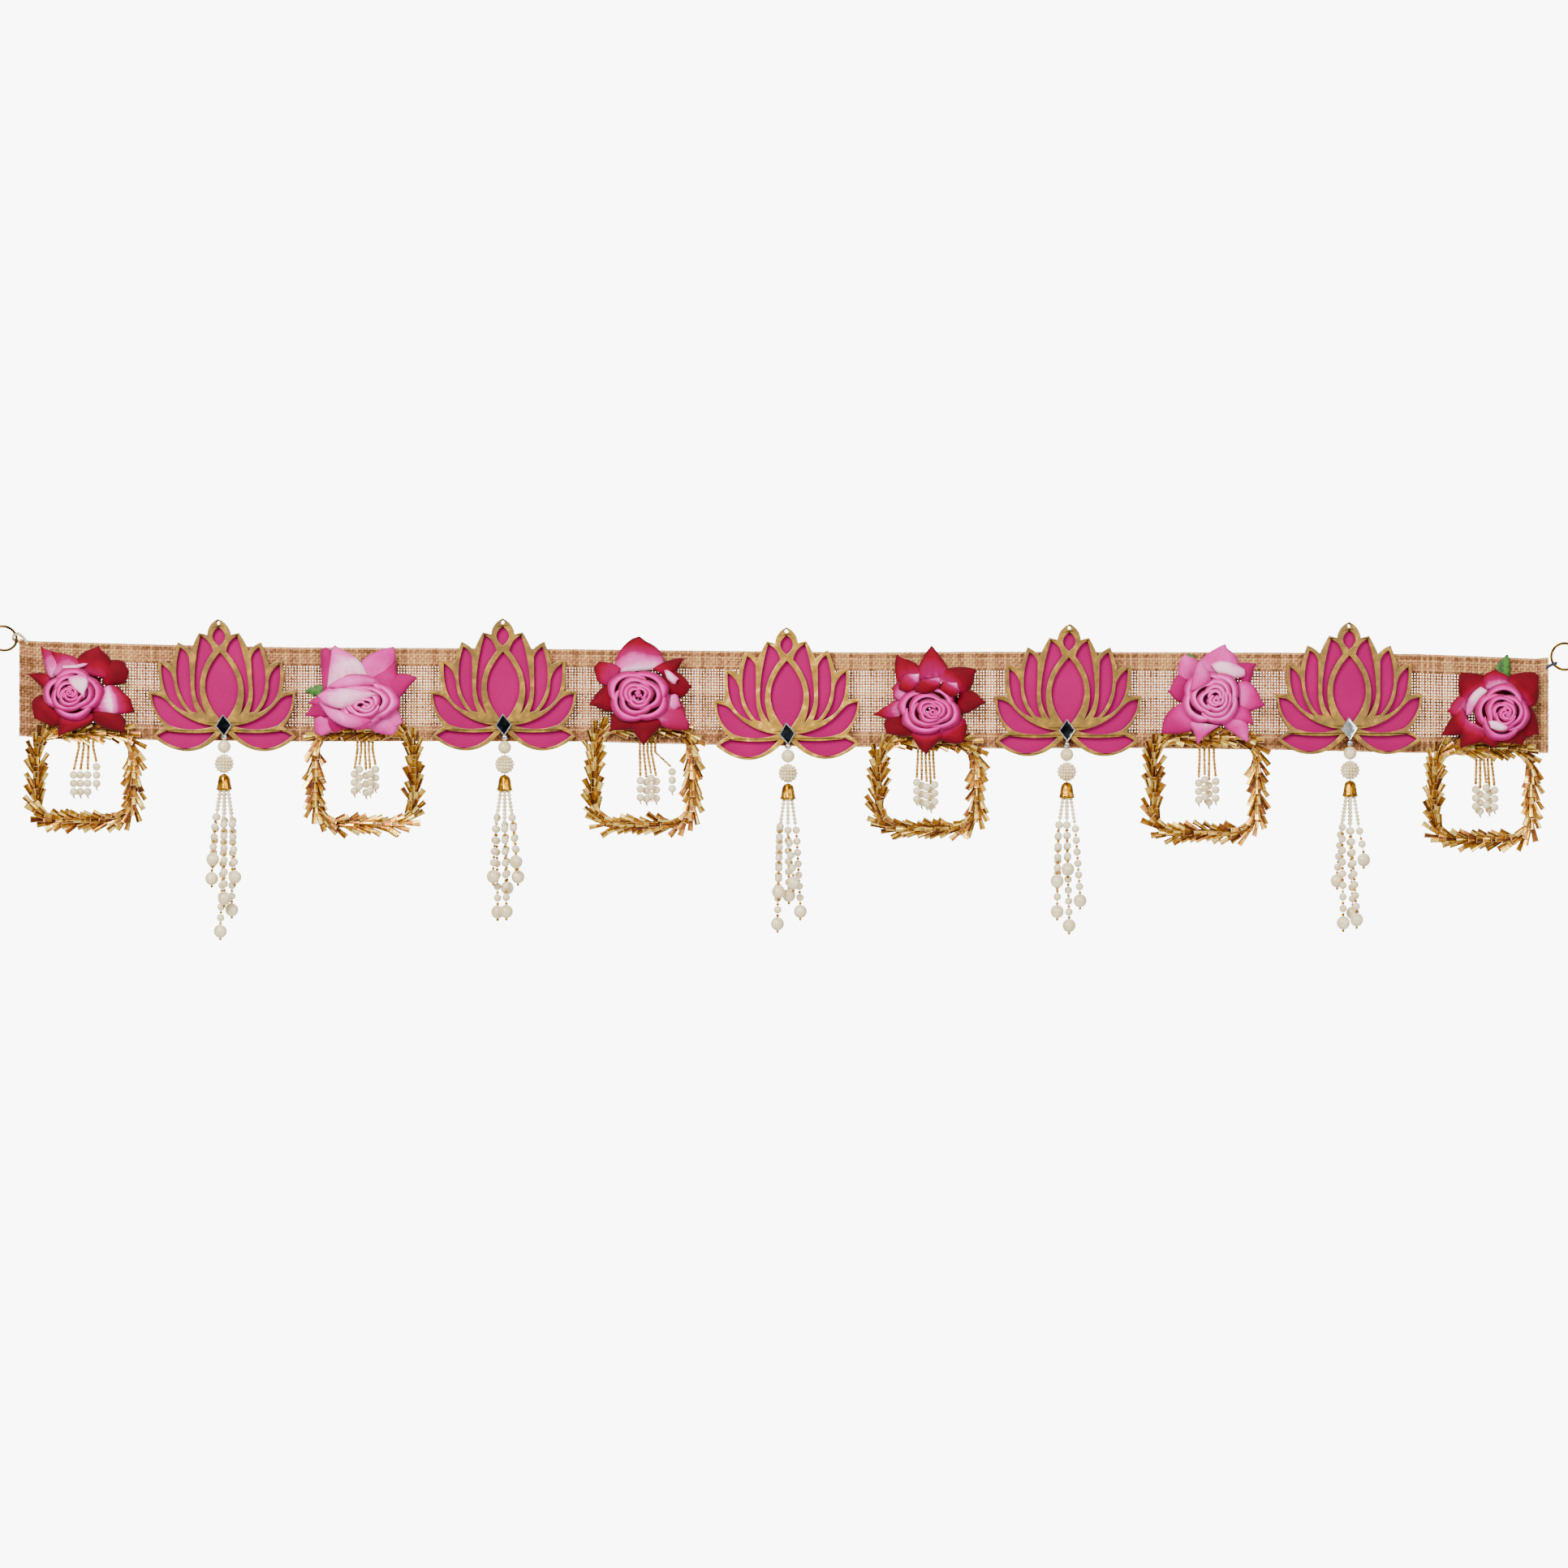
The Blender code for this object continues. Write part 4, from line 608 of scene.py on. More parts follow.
def turn_in(points, faces, tones, pair, depth):
    """Carry a thread round the fold of a hem, to the cloth's back."""
    first = len(points)
    for index in pair:
        x, _, z = points[index]
        points.append((x, depth, z))
        tones.append(tones[index])
    faces.append([pair[1], pair[0], first, first + 1])


class TORAN_OT_jute(bpy.types.Operator):
    """Weave the jute strip, with a second layer behind where its hems are folded"""
    bl_idname = "toran.jute"
    bl_label = "Weave Jute"

    def execute(self, context):
        jute = context.scene.toran_jute
        pitch = jute.spacing / MM
        left, right = BAND_EDGE[0][0], BAND_EDGE[-1][0]
        tall = BAND_EDGE[0][1] - BAND_EDGE[0][2]
        columns = [left + pitch * (i + 0.4) for i in range(int((right - left) / pitch))]
        rows = [(j + 0.4) / round(tall / pitch) for j in range(round(tall / pitch))]

        def heights(x, row):
            top, bottom = between(BAND_EDGE, x, 1), between(BAND_EDGE, x, 2)
            return top + row * (bottom - top)

        cloth = ([], [], [], random.Random(4), jute.thread / MM)
        weave_layer(cloth, columns, rows, heights, FRONT_WEAVE, REAR_WEAVE)
        shifted = [x + pitch / 2 for x in columns[:-1]]
        behind = [row + 0.5 / len(rows) for row in rows[:-1]]
        upper = [row for row in behind if row * tall < TOP_HEM]
        lower = [row for row in behind if (1 - row) * tall < BOTTOM_HEM]
        middle = [row for row in behind if row * tall >= TOP_HEM and (1 - row) * tall >= BOTTOM_HEM]
        for hem_columns, hem_rows in (
                (shifted, upper), (shifted, lower),
                ([x for x in shifted if x < left + LEFT_HEM], middle),
                ([x for x in shifted if x > right - RIGHT_HEM], middle)):
            weave_layer(cloth, hem_columns, hem_rows, heights, REAR_WEAVE)
        band = sheet_piece("jute_strip", cloth[0], cloth[1], tone=cloth[2])
        # spun jute: dull and hairy, each thread of its own tone, with reddish brown fibres
        finish = finish_of(
            "woven jute", ((0.15, jute.dark), (0.45, jute.fleck), (0.85, jute.light)), 1.8, 0.4,
            {"Roughness": 0.95, "Specular IOR Level": 0.15}, "tone", 0.5)
        finish_piece(band, "jute_strip", "jute weave", [finish], "jute_band")
        return {"FINISHED"}


class TORAN_OT_rings(bpy.types.Operator):
    """Bend the split wire rings and sew them to the top corners"""
    bl_idname = "toran.rings"
    bl_label = "Bend Rings"

    def execute(self, context):
        # drawn brass wire: warm metal with dull patches of age
        wire = finish_of("antique brass wire", ((0.2, "#2E1C04"), (0.8, "#7A520C")), 3.0, 0.8,
                         {"Metallic": 1.0, "Roughness": 0.3})
        for name, x, y, z, lean, split in RINGS:
            path = []
            for step in range(61):
                turn = math.radians(split + 378 * step / 60)
                offset = Vector((RING_CIRCLE * math.cos(turn), RING_OVERLAP * (step / 60 - 0.5),
                                 RING_CIRCLE * math.sin(turn)))
                offset.rotate(Euler((math.radians(lean), 0, 0)))
                path.append(Vector((x, y, z)) + offset)
            ring = tube("ring", [path], RING_WIRE)
            finish_piece(ring, "wire_ring_" + name, "antique brass wire", [wire], "ring_" + name)
        self.sew()
        return {"FINISHED"}

    def sew(self):
        """The threads that tie the rings: a pale bundle on the left, a dark stitch on the right."""
        # spun thread: matt, with fine light and dark fibres
        pale = finish_of(
            "cotton thread", ((0.2, "#A88A56"), (0.8, "#E4CFA0")), 0.8, 0.3, {"Roughness": 0.9})
        dark = finish_of(
            "dark sewing thread", ((0.2, "#1C1F2A"), (0.8, "#3A4152")), 0.8, 0.3, {"Roughness": 0.85})
        for side, route, shift, radius, finish in (
                ("left", LEFT_STITCH, 0.7, 0.45, pale), ("right", RIGHT_STITCH, 0.6, 0.4, dark)):
            strands = [[(x, y, z + step * shift) for x, y, z in route] for step in (-1, 0, 1)]
            finish_piece(tube("tie", strands, radius), "tie_" + side, "cotton thread", [finish],
                         "thread_" + side)


class TORAN_OT_lotuses(bpy.types.Operator):
    """Cut the boards of the lotuses and set their lozenge mirrors"""
    bl_idname = "toran.lotuses"
    bl_label = "Cut Lotuses"

    def execute(self, context):
        lotus = context.scene.toran_lotus
        bright = [min(1.0, 1.75 * c) for c in lotus.gold[:3]] + [1.0]
        deep = [0.6 * c for c in lotus.gold[:3]] + [1.0]
        dull_pink = [0.85 * c for c in lotus.pink[:3]] + [1.0]
        # sprayed board: flat satin colour
        pink = finish_of("pink painted board", ((0.0, dull_pink), (1.0, lotus.pink)), 30.0, 1.5,
                         {"Roughness": 0.55, "Specular IOR Level": 0.08})
        # rubbed gold paint: lighter streaks, lightest on the middle lotus
        gold = finish_of("gold painted board", ((0.1, deep), (0.6, lotus.gold), (1.0, bright)), 5.0, 1.2,
                         {"Roughness": 0.42, "Metallic": 0.15})
        pale = finish_of(
            "pale gold painted board", ((0.1, lotus.gold), (0.7, bright), (1.0, "#E8B84A")), 5.0, 1.2,
            {"Roughness": 0.38, "Metallic": 0.15})
        # laser-cut fibreboard: scorched brown, or stained by the pink paint
        cut = {"Roughness": 0.8}
        burnt = finish_of("scorched board edge", ((0.2, lotus.burnt), (0.9, "#5A3014")), 2.0, 0.6, cut)
        maroon = finish_of("maroon board edge", ((0.2, "#3A0418"), (0.9, "#5E0A2C")), 2.0, 0.6, cut)
        # silvered glass: a painted dark reflection on the mirrors, and a painted bright reflection
        # on the last lotus's mirror
        mirror = finish_of("lozenge mirror with painted dark reflection", ((0.3, "#15171A"), (0.9, lotus.mirror)), 6.0, 8.0,
                           {"Metallic": 1.0, "Roughness": 0.08})
        clear = finish_of("lozenge mirror with painted bright reflection", ((0.3, "#B9BEC0"), (0.8, "#F4F6F6")), 5.0, 8.0,
                          {"Metallic": 1.0, "Roughness": 0.1})
        # polished silver: a thin bright line round each mirror
        rim = finish_of("polished silver rim", ((0.2, "#B5B5B0"), (0.8, "#F2F2EE")), 2.0, 1.5,
                        {"Metallic": 1.0, "Roughness": 0.15})
        whole = whole_outline(LOTUS_OUTLINE)
        radius, turns = NAIL_HOLE / 2, [i * math.pi / 7 for i in range(14)]
        hole = [(radius * math.sin(turn), NAIL_HOLE_HEIGHT + radius * math.cos(turn)) for turn in turns]
        petals = [closed_outline(corners) for corners in LOTUS_OPENINGS]
        cuts = [closed_outline(corners) for corners in LOTUS_HEART] + petals
        cuts += [[(-x, z) for x, z in reversed(petal)] for petal in petals]
        for number, (x, z, lean, slant, gem_lean) in enumerate(LOTUSES, 1):
            name = f"lotus_{number}_"
            paint = pale if number == 3 else gold
            for kind, slot, outlines, back, thick, finishes in (
                    ("plate", "pink enamelled board", [whole, hole], PLATE_BACK, PLATE_THICK, [pink, maroon]),
                    ("frame", "gold painted board", [whole, hole] + cuts, FRAME_BACK, FRAME_THICK,
                     [paint, burnt])):
                board = self.board(outlines, back, thick, slant, lotus.line)
                board.rotation_euler.y = math.radians(lean)
                board.location = (x * MM, 0, z * MM)
                finish_piece(board, name + kind + "_board", slot, finishes, name + kind)
            # the last lotus's mirror gets the painted bright reflection, the others the painted dark one
            self.lozenge(number, x, z, gem_lean, [rim, clear if number == 5 else mirror])
        return {"FINISHED"}

    def board(self, outlines, back, thick, slant, line):
        """A cut board: outlines filled and drawn out, with a raised line along every cut."""
        curve = bpy.data.curves.new("board", "CURVE")
        curve.dimensions = "2D"
        curve.fill_mode = "BOTH"
        curve.extrude = thick / 2 * MM
        slope = math.tan(math.radians(slant))
        for outline in outlines:
            spline = curve.splines.new("POLY")
            spline.points.add(len(outline) - 1)
            for point, (x, z) in zip(spline.points, outline):
                point.co = ((x + slope * z) * MM, z * MM, 0.0, 1.0)
            spline.use_cyclic_u = True
        obj = bpy.data.objects.new("board", curve)
        bpy.context.scene.collection.objects.link(obj)
        obj.location.y = (back - thick / 2) * MM
        obj.rotation_euler.x = math.radians(90)
        select_only(obj)
        bpy.ops.object.convert(target="MESH")
        obj = bpy.context.object
        bpy.ops.object.transform_apply(location=True, rotation=True, scale=True)
        bpy.ops.object.mode_set(mode="EDIT")
        bpy.ops.mesh.select_all(action="SELECT")
        bpy.ops.mesh.remove_doubles(threshold=WELD * MM)
        bpy.ops.mesh.normals_make_consistent(inside=False)
        bpy.ops.mesh.select_mode(type="FACE")
        bpy.ops.mesh.select_all(action="DESELECT")
        bpy.ops.object.mode_set(mode="OBJECT")
        for polygon in obj.data.polygons:
            polygon.select = polygon.normal.y < -0.9
        bpy.ops.object.mode_set(mode="EDIT")
        bpy.ops.mesh.inset(thickness=line, depth=SCORCH_RAISED * MM, use_even_offset=False)
        bpy.ops.mesh.select_mode(type="VERT")
        bpy.ops.object.mode_set(mode="OBJECT")
        for polygon in obj.data.polygons:
            polygon.material_index = 0 if polygon.select or polygon.normal.y > 0.9 else 1
        return obj

    def lozenge(self, number, x, z, lean, materials):
        """A lozenge mirror in a thin raised silver rim."""
        bpy.ops.object.select_all(action="DESELECT")
        bpy.ops.mesh.primitive_circle_add(vertices=4, radius=1.0, fill_type="NGON")
        obj = bpy.context.object
        obj.scale = (GEM_WIDE / 2 * MM, GEM_TALL / 2 * MM, MM)
        bpy.ops.object.transform_apply(scale=True)
        bpy.ops.object.mode_set(mode="EDIT")
        bpy.ops.mesh.extrude_region_move(TRANSFORM_OT_translate={"value": (0, 0, 1.5 * MM)})
        bpy.ops.mesh.inset(thickness=0.3 * MM, depth=0.25 * MM)
        bpy.ops.mesh.inset(thickness=0.35 * MM, depth=-0.2 * MM)
        bpy.ops.mesh.inset(thickness=0.9 * MM, depth=0.1 * MM)
        bpy.ops.object.mode_set(mode="OBJECT")
        obj.rotation_euler = (math.radians(90), math.radians(lean), 0)
        obj.location = (x * MM, GEM_BACK * MM, z * MM)
        glass = [p.index for p in obj.data.polygons if p.center.z > 1.5 * MM and
                 abs(p.center.x) / (GEM_WIDE / 2) + abs(p.center.y) / (GEM_TALL / 2) < 0.8 * MM]
        finish_piece(obj, f"lotus_{number}_lozenge", "mirror lozenge", materials, f"lotus_{number}_gem")
        for index in glass:
            obj.data.polygons[index].material_index = 1


def side_points(start, end, bulge):
    """Points of a bowed side from one corner up to the next, without the last."""
    run = math.hypot(end[0] - start[0], end[1] - start[1])
    steps = max(1, round(run / 2.0)) if bulge else 1
    out_x, out_z = -(end[1] - start[1]) / run, (end[0] - start[0]) / run
    points = []
    for step in range(steps):
        share = step / steps
        bow = 4 * bulge * share * (1 - share)
        points.append((start[0] + share * (end[0] - start[0]) + bow * out_x,
                       start[1] + share * (end[1] - start[1]) + bow * out_z))
    return points


def closed_outline(corners):
    """An outline through all its corners and back to the first."""
    points = []
    for corner, following in zip(corners, corners[1:] + corners[:1]):
        points += side_points(corner, following, corner[2])
    return points


def whole_outline(half):
    """The full outline from its right half."""
    right = []
    for corner, following in zip(half, half[1:]):
        right += side_points(corner, following, corner[2])
    right.append(half[-1][:2])
    return right + [(-x, z) for x, z in reversed(right[1:])]


class TORAN_OT_tassels(bpy.types.Operator):
    """String the drops below the lotuses and the bead tassels under their caps"""
    bl_idname = "toran.tassels"
    bl_label = "String Tassels"

    def execute(self, context):
        beads = context.scene.toran_beads
        self.sizes = {name: getattr(beads, name) / MM for name in (
            "strung_pearl", "seed_ball", "end_pearl", "strand_pearl", "seed_pearl", "spacer")}
        self.finishes = {
            "pearl": pearl_finish("coated pearl", beads.pearl),
            # plated brass: warm mirror with small dents from stamping
            "gold": finish_of(
                "gold-plated brass", ((0.15, "#7A4A08"), (0.7, beads.gold), (1.0, "#F6CC50")), 2.5, 1.2,
                {"Metallic": 1.0, "Roughness": 0.24}),
            # polished silver: a small bright mirror
            "silver": finish_of(
                "bright silver bead", ((0.2, "#A9A9A6"), (0.8, "#F0F0EC")), 2.0, 2.0,
                {"Metallic": 1.0, "Roughness": 0.15}),
            # twisted nylon: pale and a little shiny
            "thread": finish_of(
                "nylon bead thread", ((0.2, "#B8A67C"), (0.8, "#E8DCC0")), 0.8, 0.5, {"Roughness": 0.5}),
        }
        self.big, self.small, self.seed = ball(20, 14), ball(12, 8), ball(8, 5)
        self.cap = self.bell_cap()
        for number, row in enumerate(TASSELS, 1):
            self.tassel(number, *row)
        discard(self.big, self.small, self.seed, self.cap)
        return {"FINISHED"}

    def bell_cap(self):
        """A stamped bell cap: rings drawn up from its mouth, then fluted, with a thin wall."""
        bpy.ops.object.select_all(action="DESELECT")
        bpy.ops.mesh.primitive_circle_add(vertices=32, radius=CAP_RINGS[0][0] * MM)
        bpy.ops.object.mode_set(mode="EDIT")
        for (radius, height), (next_radius, next_height) in zip(CAP_RINGS, CAP_RINGS[1:]):
            bpy.ops.mesh.extrude_region_move(
                TRANSFORM_OT_translate={"value": (0, 0, (next_height - height) * MM)})
            size = next_radius / radius
            bpy.ops.transform.resize(value=(size, size, 1))
        bpy.ops.mesh.select_all(action="SELECT")
        bpy.ops.mesh.normals_make_consistent(inside=False)
        bpy.ops.object.mode_set(mode="OBJECT")
        cap = bpy.context.object
        for vertex in cap.data.vertices:
            turn = math.atan2(vertex.co.y, vertex.co.x)
            flute = 1 + (CAP_FLUTE_SHARE * math.cos(CAP_FLUTES * turn)
                         * (1 - vertex.co.z / (CAP_TALL * MM)))
            vertex.co.x *= flute
            vertex.co.y *= flute
        wall = cap.modifiers.new("wall", "SOLIDIFY")
        wall.thickness = CAP_WALL * MM
        bpy.ops.object.modifier_apply(modifier=wall.name)
        bpy.ops.object.shade_smooth()
        return cap

    def seed_ball(self, x, y, z, diameter):
        """Places for a ball wound with rows of seed pearls."""
        radius = (diameter - BALL_SEED) / 2
        places = []
        for row in range(BALL_ROWS + 1):
            down = math.pi * row / BALL_ROWS
            count = max(1, round(2 * math.pi * radius * math.sin(down) / (0.93 * BALL_SEED)))
            for step in range(count):
                turn = 2 * math.pi * (step + 0.5 * (row % 2)) / count
                places.append(at(x + radius * math.sin(down) * math.cos(turn),
                                 y + radius * math.sin(down) * math.sin(turn),
                                 z + radius * math.cos(down), BALL_SEED))
        return places

    def tassel(self, number, x, y, pearl_z, strands):
        """One drop and one tassel, as pearls, gold beads, a silver bead and thread."""
        size = self.sizes
        pick = random.Random(number)
        ball_z = pearl_z - BALL_BELOW_PEARL
        mouth = pearl_z - CAP_BELOW_PEARL - CAP_TALL
        big = [at(x, y, pearl_z, size["strung_pearl"])]
        small = []
        seeds = self.seed_ball(x, y, ball_z, size["seed_ball"])
        gold = []
        paths = [[(x, y, pearl_z + 11.0), (x, y, mouth + CAP_TALL - 1.0)]]
        for name, (end_x, drop) in strands.items():
            path = strand_path(x, y, mouth, STRAND_PLACES[name], end_x, drop, size["end_pearl"])
            seed_run = pick.uniform(12.0, 20.0)
            down = 0.6
            while down < seed_run:
                seeds.append(at(*path(down), size["seed_pearl"]))
                down += 0.94 * size["seed_pearl"]
            bottom = drop - size["end_pearl"] / 2
            count = max(1, round((bottom - down) / BEAD_PITCH))
            pitch = (bottom - down) / count
            for step in range(count):
                top = down + step * pitch
                small.append(at(*path(top + size["strand_pearl"] / 2), size["strand_pearl"]))
                gold.append(at(*path(top + pitch - size["spacer"] / 2), size["spacer"]))
            big.append(at(*path(drop), size["end_pearl"], 1.04 * size["end_pearl"]))
            gold.append(at(*path(drop + size["end_pearl"] / 2 + 0.8), 1.9))
            paths.append([path(step * drop / 12) for step in range(13)])
        core = at(x, y, ball_z, size["seed_ball"] - 2.6)
        pearls = join([copies("pearls", model, places) for model, places in (
            (self.big, big), (self.small, small), (self.seed, seeds), (self.small, [core]))])
        finish_piece(pearls, f"tassel_{number}_pearls", "cream pearl", [self.finishes["pearl"]],
                     f"drop_{number}", f"tassel_{number}")
        cap = copies("cap", self.cap, [Matrix.Translation(Vector((x, y, mouth)) * MM)])
        metal = join([copies("gold", self.seed, gold), cap])
        finish_piece(metal, f"tassel_{number}_cap_and_gold", "cap and bead gold",
                     [self.finishes["gold"]])
        silver_z = pearl_z + size["strung_pearl"] / 2 + 2.2
        silver = copies("silver", self.small,
                        [at(x, y, silver_z, 4.4), at(x, y, silver_z + 2.4, 2.2)])
        finish_piece(silver, f"tassel_{number}_silver", "mirror lozenge", [self.finishes["silver"]])
        thread = tube("thread", paths, 0.3)
        finish_piece(thread, f"tassel_{number}_thread", "cotton thread", [self.finishes["thread"]])


def strand_path(x, y, mouth, place, end_x, drop, end_pearl):
    """A function from the distance below the cap to a point on a strand."""
    place_x, place_y, end_y = place
    away = math.atan2(place_y, place_x)
    root_x, root_y = ROOT_CIRCLE * math.cos(away), ROOT_CIRCLE * math.sin(away)

    def path(down):
        if down < SPREAD_BELOW:
            share = max(0.0, down / SPREAD_BELOW)
            return (x + root_x + share * (place_x - root_x), y + root_y + share * (place_y - root_y),
                    mouth - down)
        share = min(1.0, (down - SPREAD_BELOW) / (drop - end_pearl / 2 - SPREAD_BELOW))
        return (x + place_x + share * (end_x - place_x), y + place_y + share * (end_y - place_y),
                mouth - down)

    return path


def join(objects):
    """Join meshes into the first of them."""
    bpy.ops.object.select_all(action="DESELECT")
    for obj in objects:
        obj.select_set(True)
    bpy.context.view_layer.objects.active = objects[0]
    bpy.ops.object.join()
    return bpy.context.object


class TORAN_OT_sprays(bpy.types.Operator):
    """String the sprays of gold chain and pearls inside the foil squares"""
    bl_idname = "toran.sprays"
    bl_label = "String Sprays"

    def execute(self, context):
        beads = context.scene.toran_beads
        pearl_size = beads.spray_pearl / MM
        pearl = pearl_finish("coated spray pearl", beads.pearl)
        # gold glass seeds: small glints along each chain
        gold = finish_of(
            "pale gold seed beads", ((0.1, "#855A12"), (0.7, beads.chain), (1.0, "#F0CC70")), 2.0, 2.0,
            {"Metallic": 0.6, "Roughness": 0.28})
        round_bead, seed = ball(14, 10), ball(6, 4)
        for number, (x, first, chains) in enumerate(SPRAYS, 1):
            top = between(BAND_EDGE, x, 2) + PAD_ABOVE_EDGE
            pearls, seeds = [], []
            for order, (away, y, down, count) in enumerate(chains):
                root = x + PAD_WIDE * ((order + 0.5) / len(chains) - 0.5)
                pearl_z = first - down
                free, full = top - CHAIN_STRAIGHT, pearl_z + pearl_size / 2
                for step in range(int((top - full) / CHAIN_PITCH)):
                    z = top - CHAIN_PITCH * step
                    share = max(0.0, min(1.0, (free - z) / (free - full)))
                    turn = CHAIN_TWIST * step
                    for side in (-1, 1):
                        seeds.append(at(
                            root + share * (x + away - root) + side * 0.4 * math.cos(turn),
                            PAD_DEPTH + share * (y - PAD_DEPTH) + side * 0.4 * math.sin(turn),
                            z, CHAIN_SEED))
                for step in range(count):
                    pearls.append(at(x + away, y, pearl_z - SPRAY_PITCH * step, pearl_size))
                low = pearl_z - SPRAY_PITCH * (count - 1) - pearl_size / 2 - 0.5
                seeds += [at(x + away, y, low, 1.5), at(x + away + 0.5, y, low - 1.0, 1.1)]
            finish_piece(copies("pearls", round_bead, pearls), f"spray_{number}_pearls",
                         "cream pearl", [pearl], f"pearls_{number}")
            finish_piece(copies("chain", seed, seeds), f"spray_{number}_chain",
                         "cap and bead gold", [gold])
        discard(round_bead, seed)
        return {"FINISHED"}


class TORAN_OT_roses(bpy.types.Operator):
    """Fold the outer petals of the cloth roses and roll their blooms"""
    bl_idname = "toran.roses"
    bl_label = "Fold Roses"

    def execute(self, context):
        rose = context.scene.toran_roses
        velvet = {"Roughness": 0.8, "Specular IOR Level": 0.12, "Sheen Weight": 0.06,
                  "Sheen Roughness": 0.4}
        # dyed velvet: matt and soft, pale where the dye has not reached and strong at the tips
        dyed = {cloth: finish_of(f"{cloth} velvet", tones, 10.0, 0.7, velvet, "tone", 0.16)
                for cloth, tones in (
                    ("crimson", ((0.0, rose.cream), (0.16, "#E45CAC"), (0.4, "#9A0450"),
                                 (0.75, rose.crimson), (1.0, "#5C0010"))),
                    ("pink", ((0.0, rose.cream), (0.18, "#E65AAE"), (0.45, rose.blush),
                              (0.75, "#A4045E"), (1.0, rose.magenta))))}
        # rolled petals: the same cloth, with painted shade in the folds and down each inner wall, a
        # painted highlight on each crest, and pink towards the pale lips
        rolled = {cloth: finish_of(name, tones, 7.0, 0.7, velvet, "tone", 0.14)
                  for cloth, name, tones in (
                      ("crimson", "rolled pink petals",
                       ((0.0, "#2E000E"), (0.3, "#7A0034"), (0.65, "#B8006C"), (1.0, "#EE40AC"))),
                      ("pink", "rolled pale petals",
                       ((0.0, "#4A001C"), (0.3, "#98044E"), (0.65, "#D01C8C"), (1.0, "#FA70C4"))))}
        # satin ribbon leaf: fresh green with darker patches
        green = finish_of("green satin ribbon", ((0.2, "#1E4406"), (0.8, rose.leaf)), 3.0, 0.8,
                          {"Roughness": 0.6})
        for number, (x, z, cloth, bloom, petals) in enumerate(ROSES, 1):
            for kind, slot, obj, finish, node in (
                    ("outer", "crimson velvet petals", self.outer_petals(petals, number, bloom),
                     dyed[cloth], "petals"),
                    ("rolled", "pink satin petals", self.rolled_petals(bloom, number),
                     rolled[cloth], "bloom")):
                obj.location = (x * MM, 0, z * MM)
                self.thicken(obj, rose.cloth)
                finish_piece(obj, f"rose_{number}_{kind}", slot, [finish], f"rose_{number}_{node}")
        for number, x, z, long, wide, lean in LEAVES:
            finish_piece(self.leaf(x, z, long, wide, lean), f"rose_{number}_leaf",
                         "green satin leaf", [green], f"leaf_{number}")
        return {"FINISHED"}

    def thicken(self, obj, thickness):
        """Give folded cloth its thickness and smooth it."""
        wall = obj.modifiers.new("cloth", "SOLIDIFY")
        wall.thickness = thickness
        wall.offset = 0.0
        select_only(obj)
        bpy.ops.object.shade_smooth()

    def outer_petals(self, petals, seed, bloom):
        """Petals between their left and right sides, crowned, waved and curled back at the rim."""
        pick = random.Random(seed)
        points, faces, tones = [], [], []
        middle_x, middle_z, half_width, half_height = bloom[:4]
        for row in range(5):
            for column in range(33):
                turn = 2 * math.pi * column / 32
                share = 0.1 + 0.24 * row * (1 + 0.05 * math.cos(5 * turn + seed))
                points.append((middle_x + half_width * share * math.cos(turn),
                               UNDER_CLOTH + 0.4 * math.sin(5 * turn),
                               middle_z + half_height * share * math.sin(turn)))
                tones.append(0.6 + 0.07 * row)
        add_grid_faces(faces, 0, 5, 33)
        for depth, base_tone, middle_tone, tip_tone, *sides in petals:
            left = [Vector(sides[i:i + 2]) for i in (0, 2, 4)]
            right = [Vector(sides[i:i + 2]) for i in (6, 8, 10)]
            crown = pick.uniform(1.2, 2.0)
            phase, bend = pick.uniform(0, 6), pick.uniform(-0.5, 0.9)
            start = len(points)
            ahead = (left[2] + right[2] - left[0] - right[0]).normalized()
            for row in range(13):
                v = row / 12
                low, high = side_at(left, v), side_at(right, v)
                for column in range(11):
                    u = column / 5 - 1
                    place = low.lerp(high, (u + 1) / 2)
                    place += ahead * 2.4 * (1 - abs(u)) * max(0.0, 2 * v - 1) ** 2
                    lift = crown * (1 - u * u) * math.sin(math.pi * (0.15 + 0.75 * v))
                    lift += 0.35 * math.sin(2.6 * u + 5 * v + phase) + bend * v * v
                    lift -= 1.0 * abs(u) ** 5 + 0.8 * max(0.0, v - 0.85) / 0.15
                    points.append((place.x, depth - lift, place.y))
                    level = base_tone + (middle_tone - base_tone) * min(1.0, 2 * v)
                    level += (tip_tone - middle_tone) * max(0.0, 2 * v - 1)
                    level += 0.22 * (abs(u) ** 3) * (1 if tip_tone > 0.5 else 0.4)
                    level += 0.03 * math.sin(16 * u + 2 * phase) * (1 - v)
                    tones.append(min(1.0, level))
            add_grid_faces(faces, start, 13, 11)
        return sheet_piece("petals", points, faces, tone=tones)

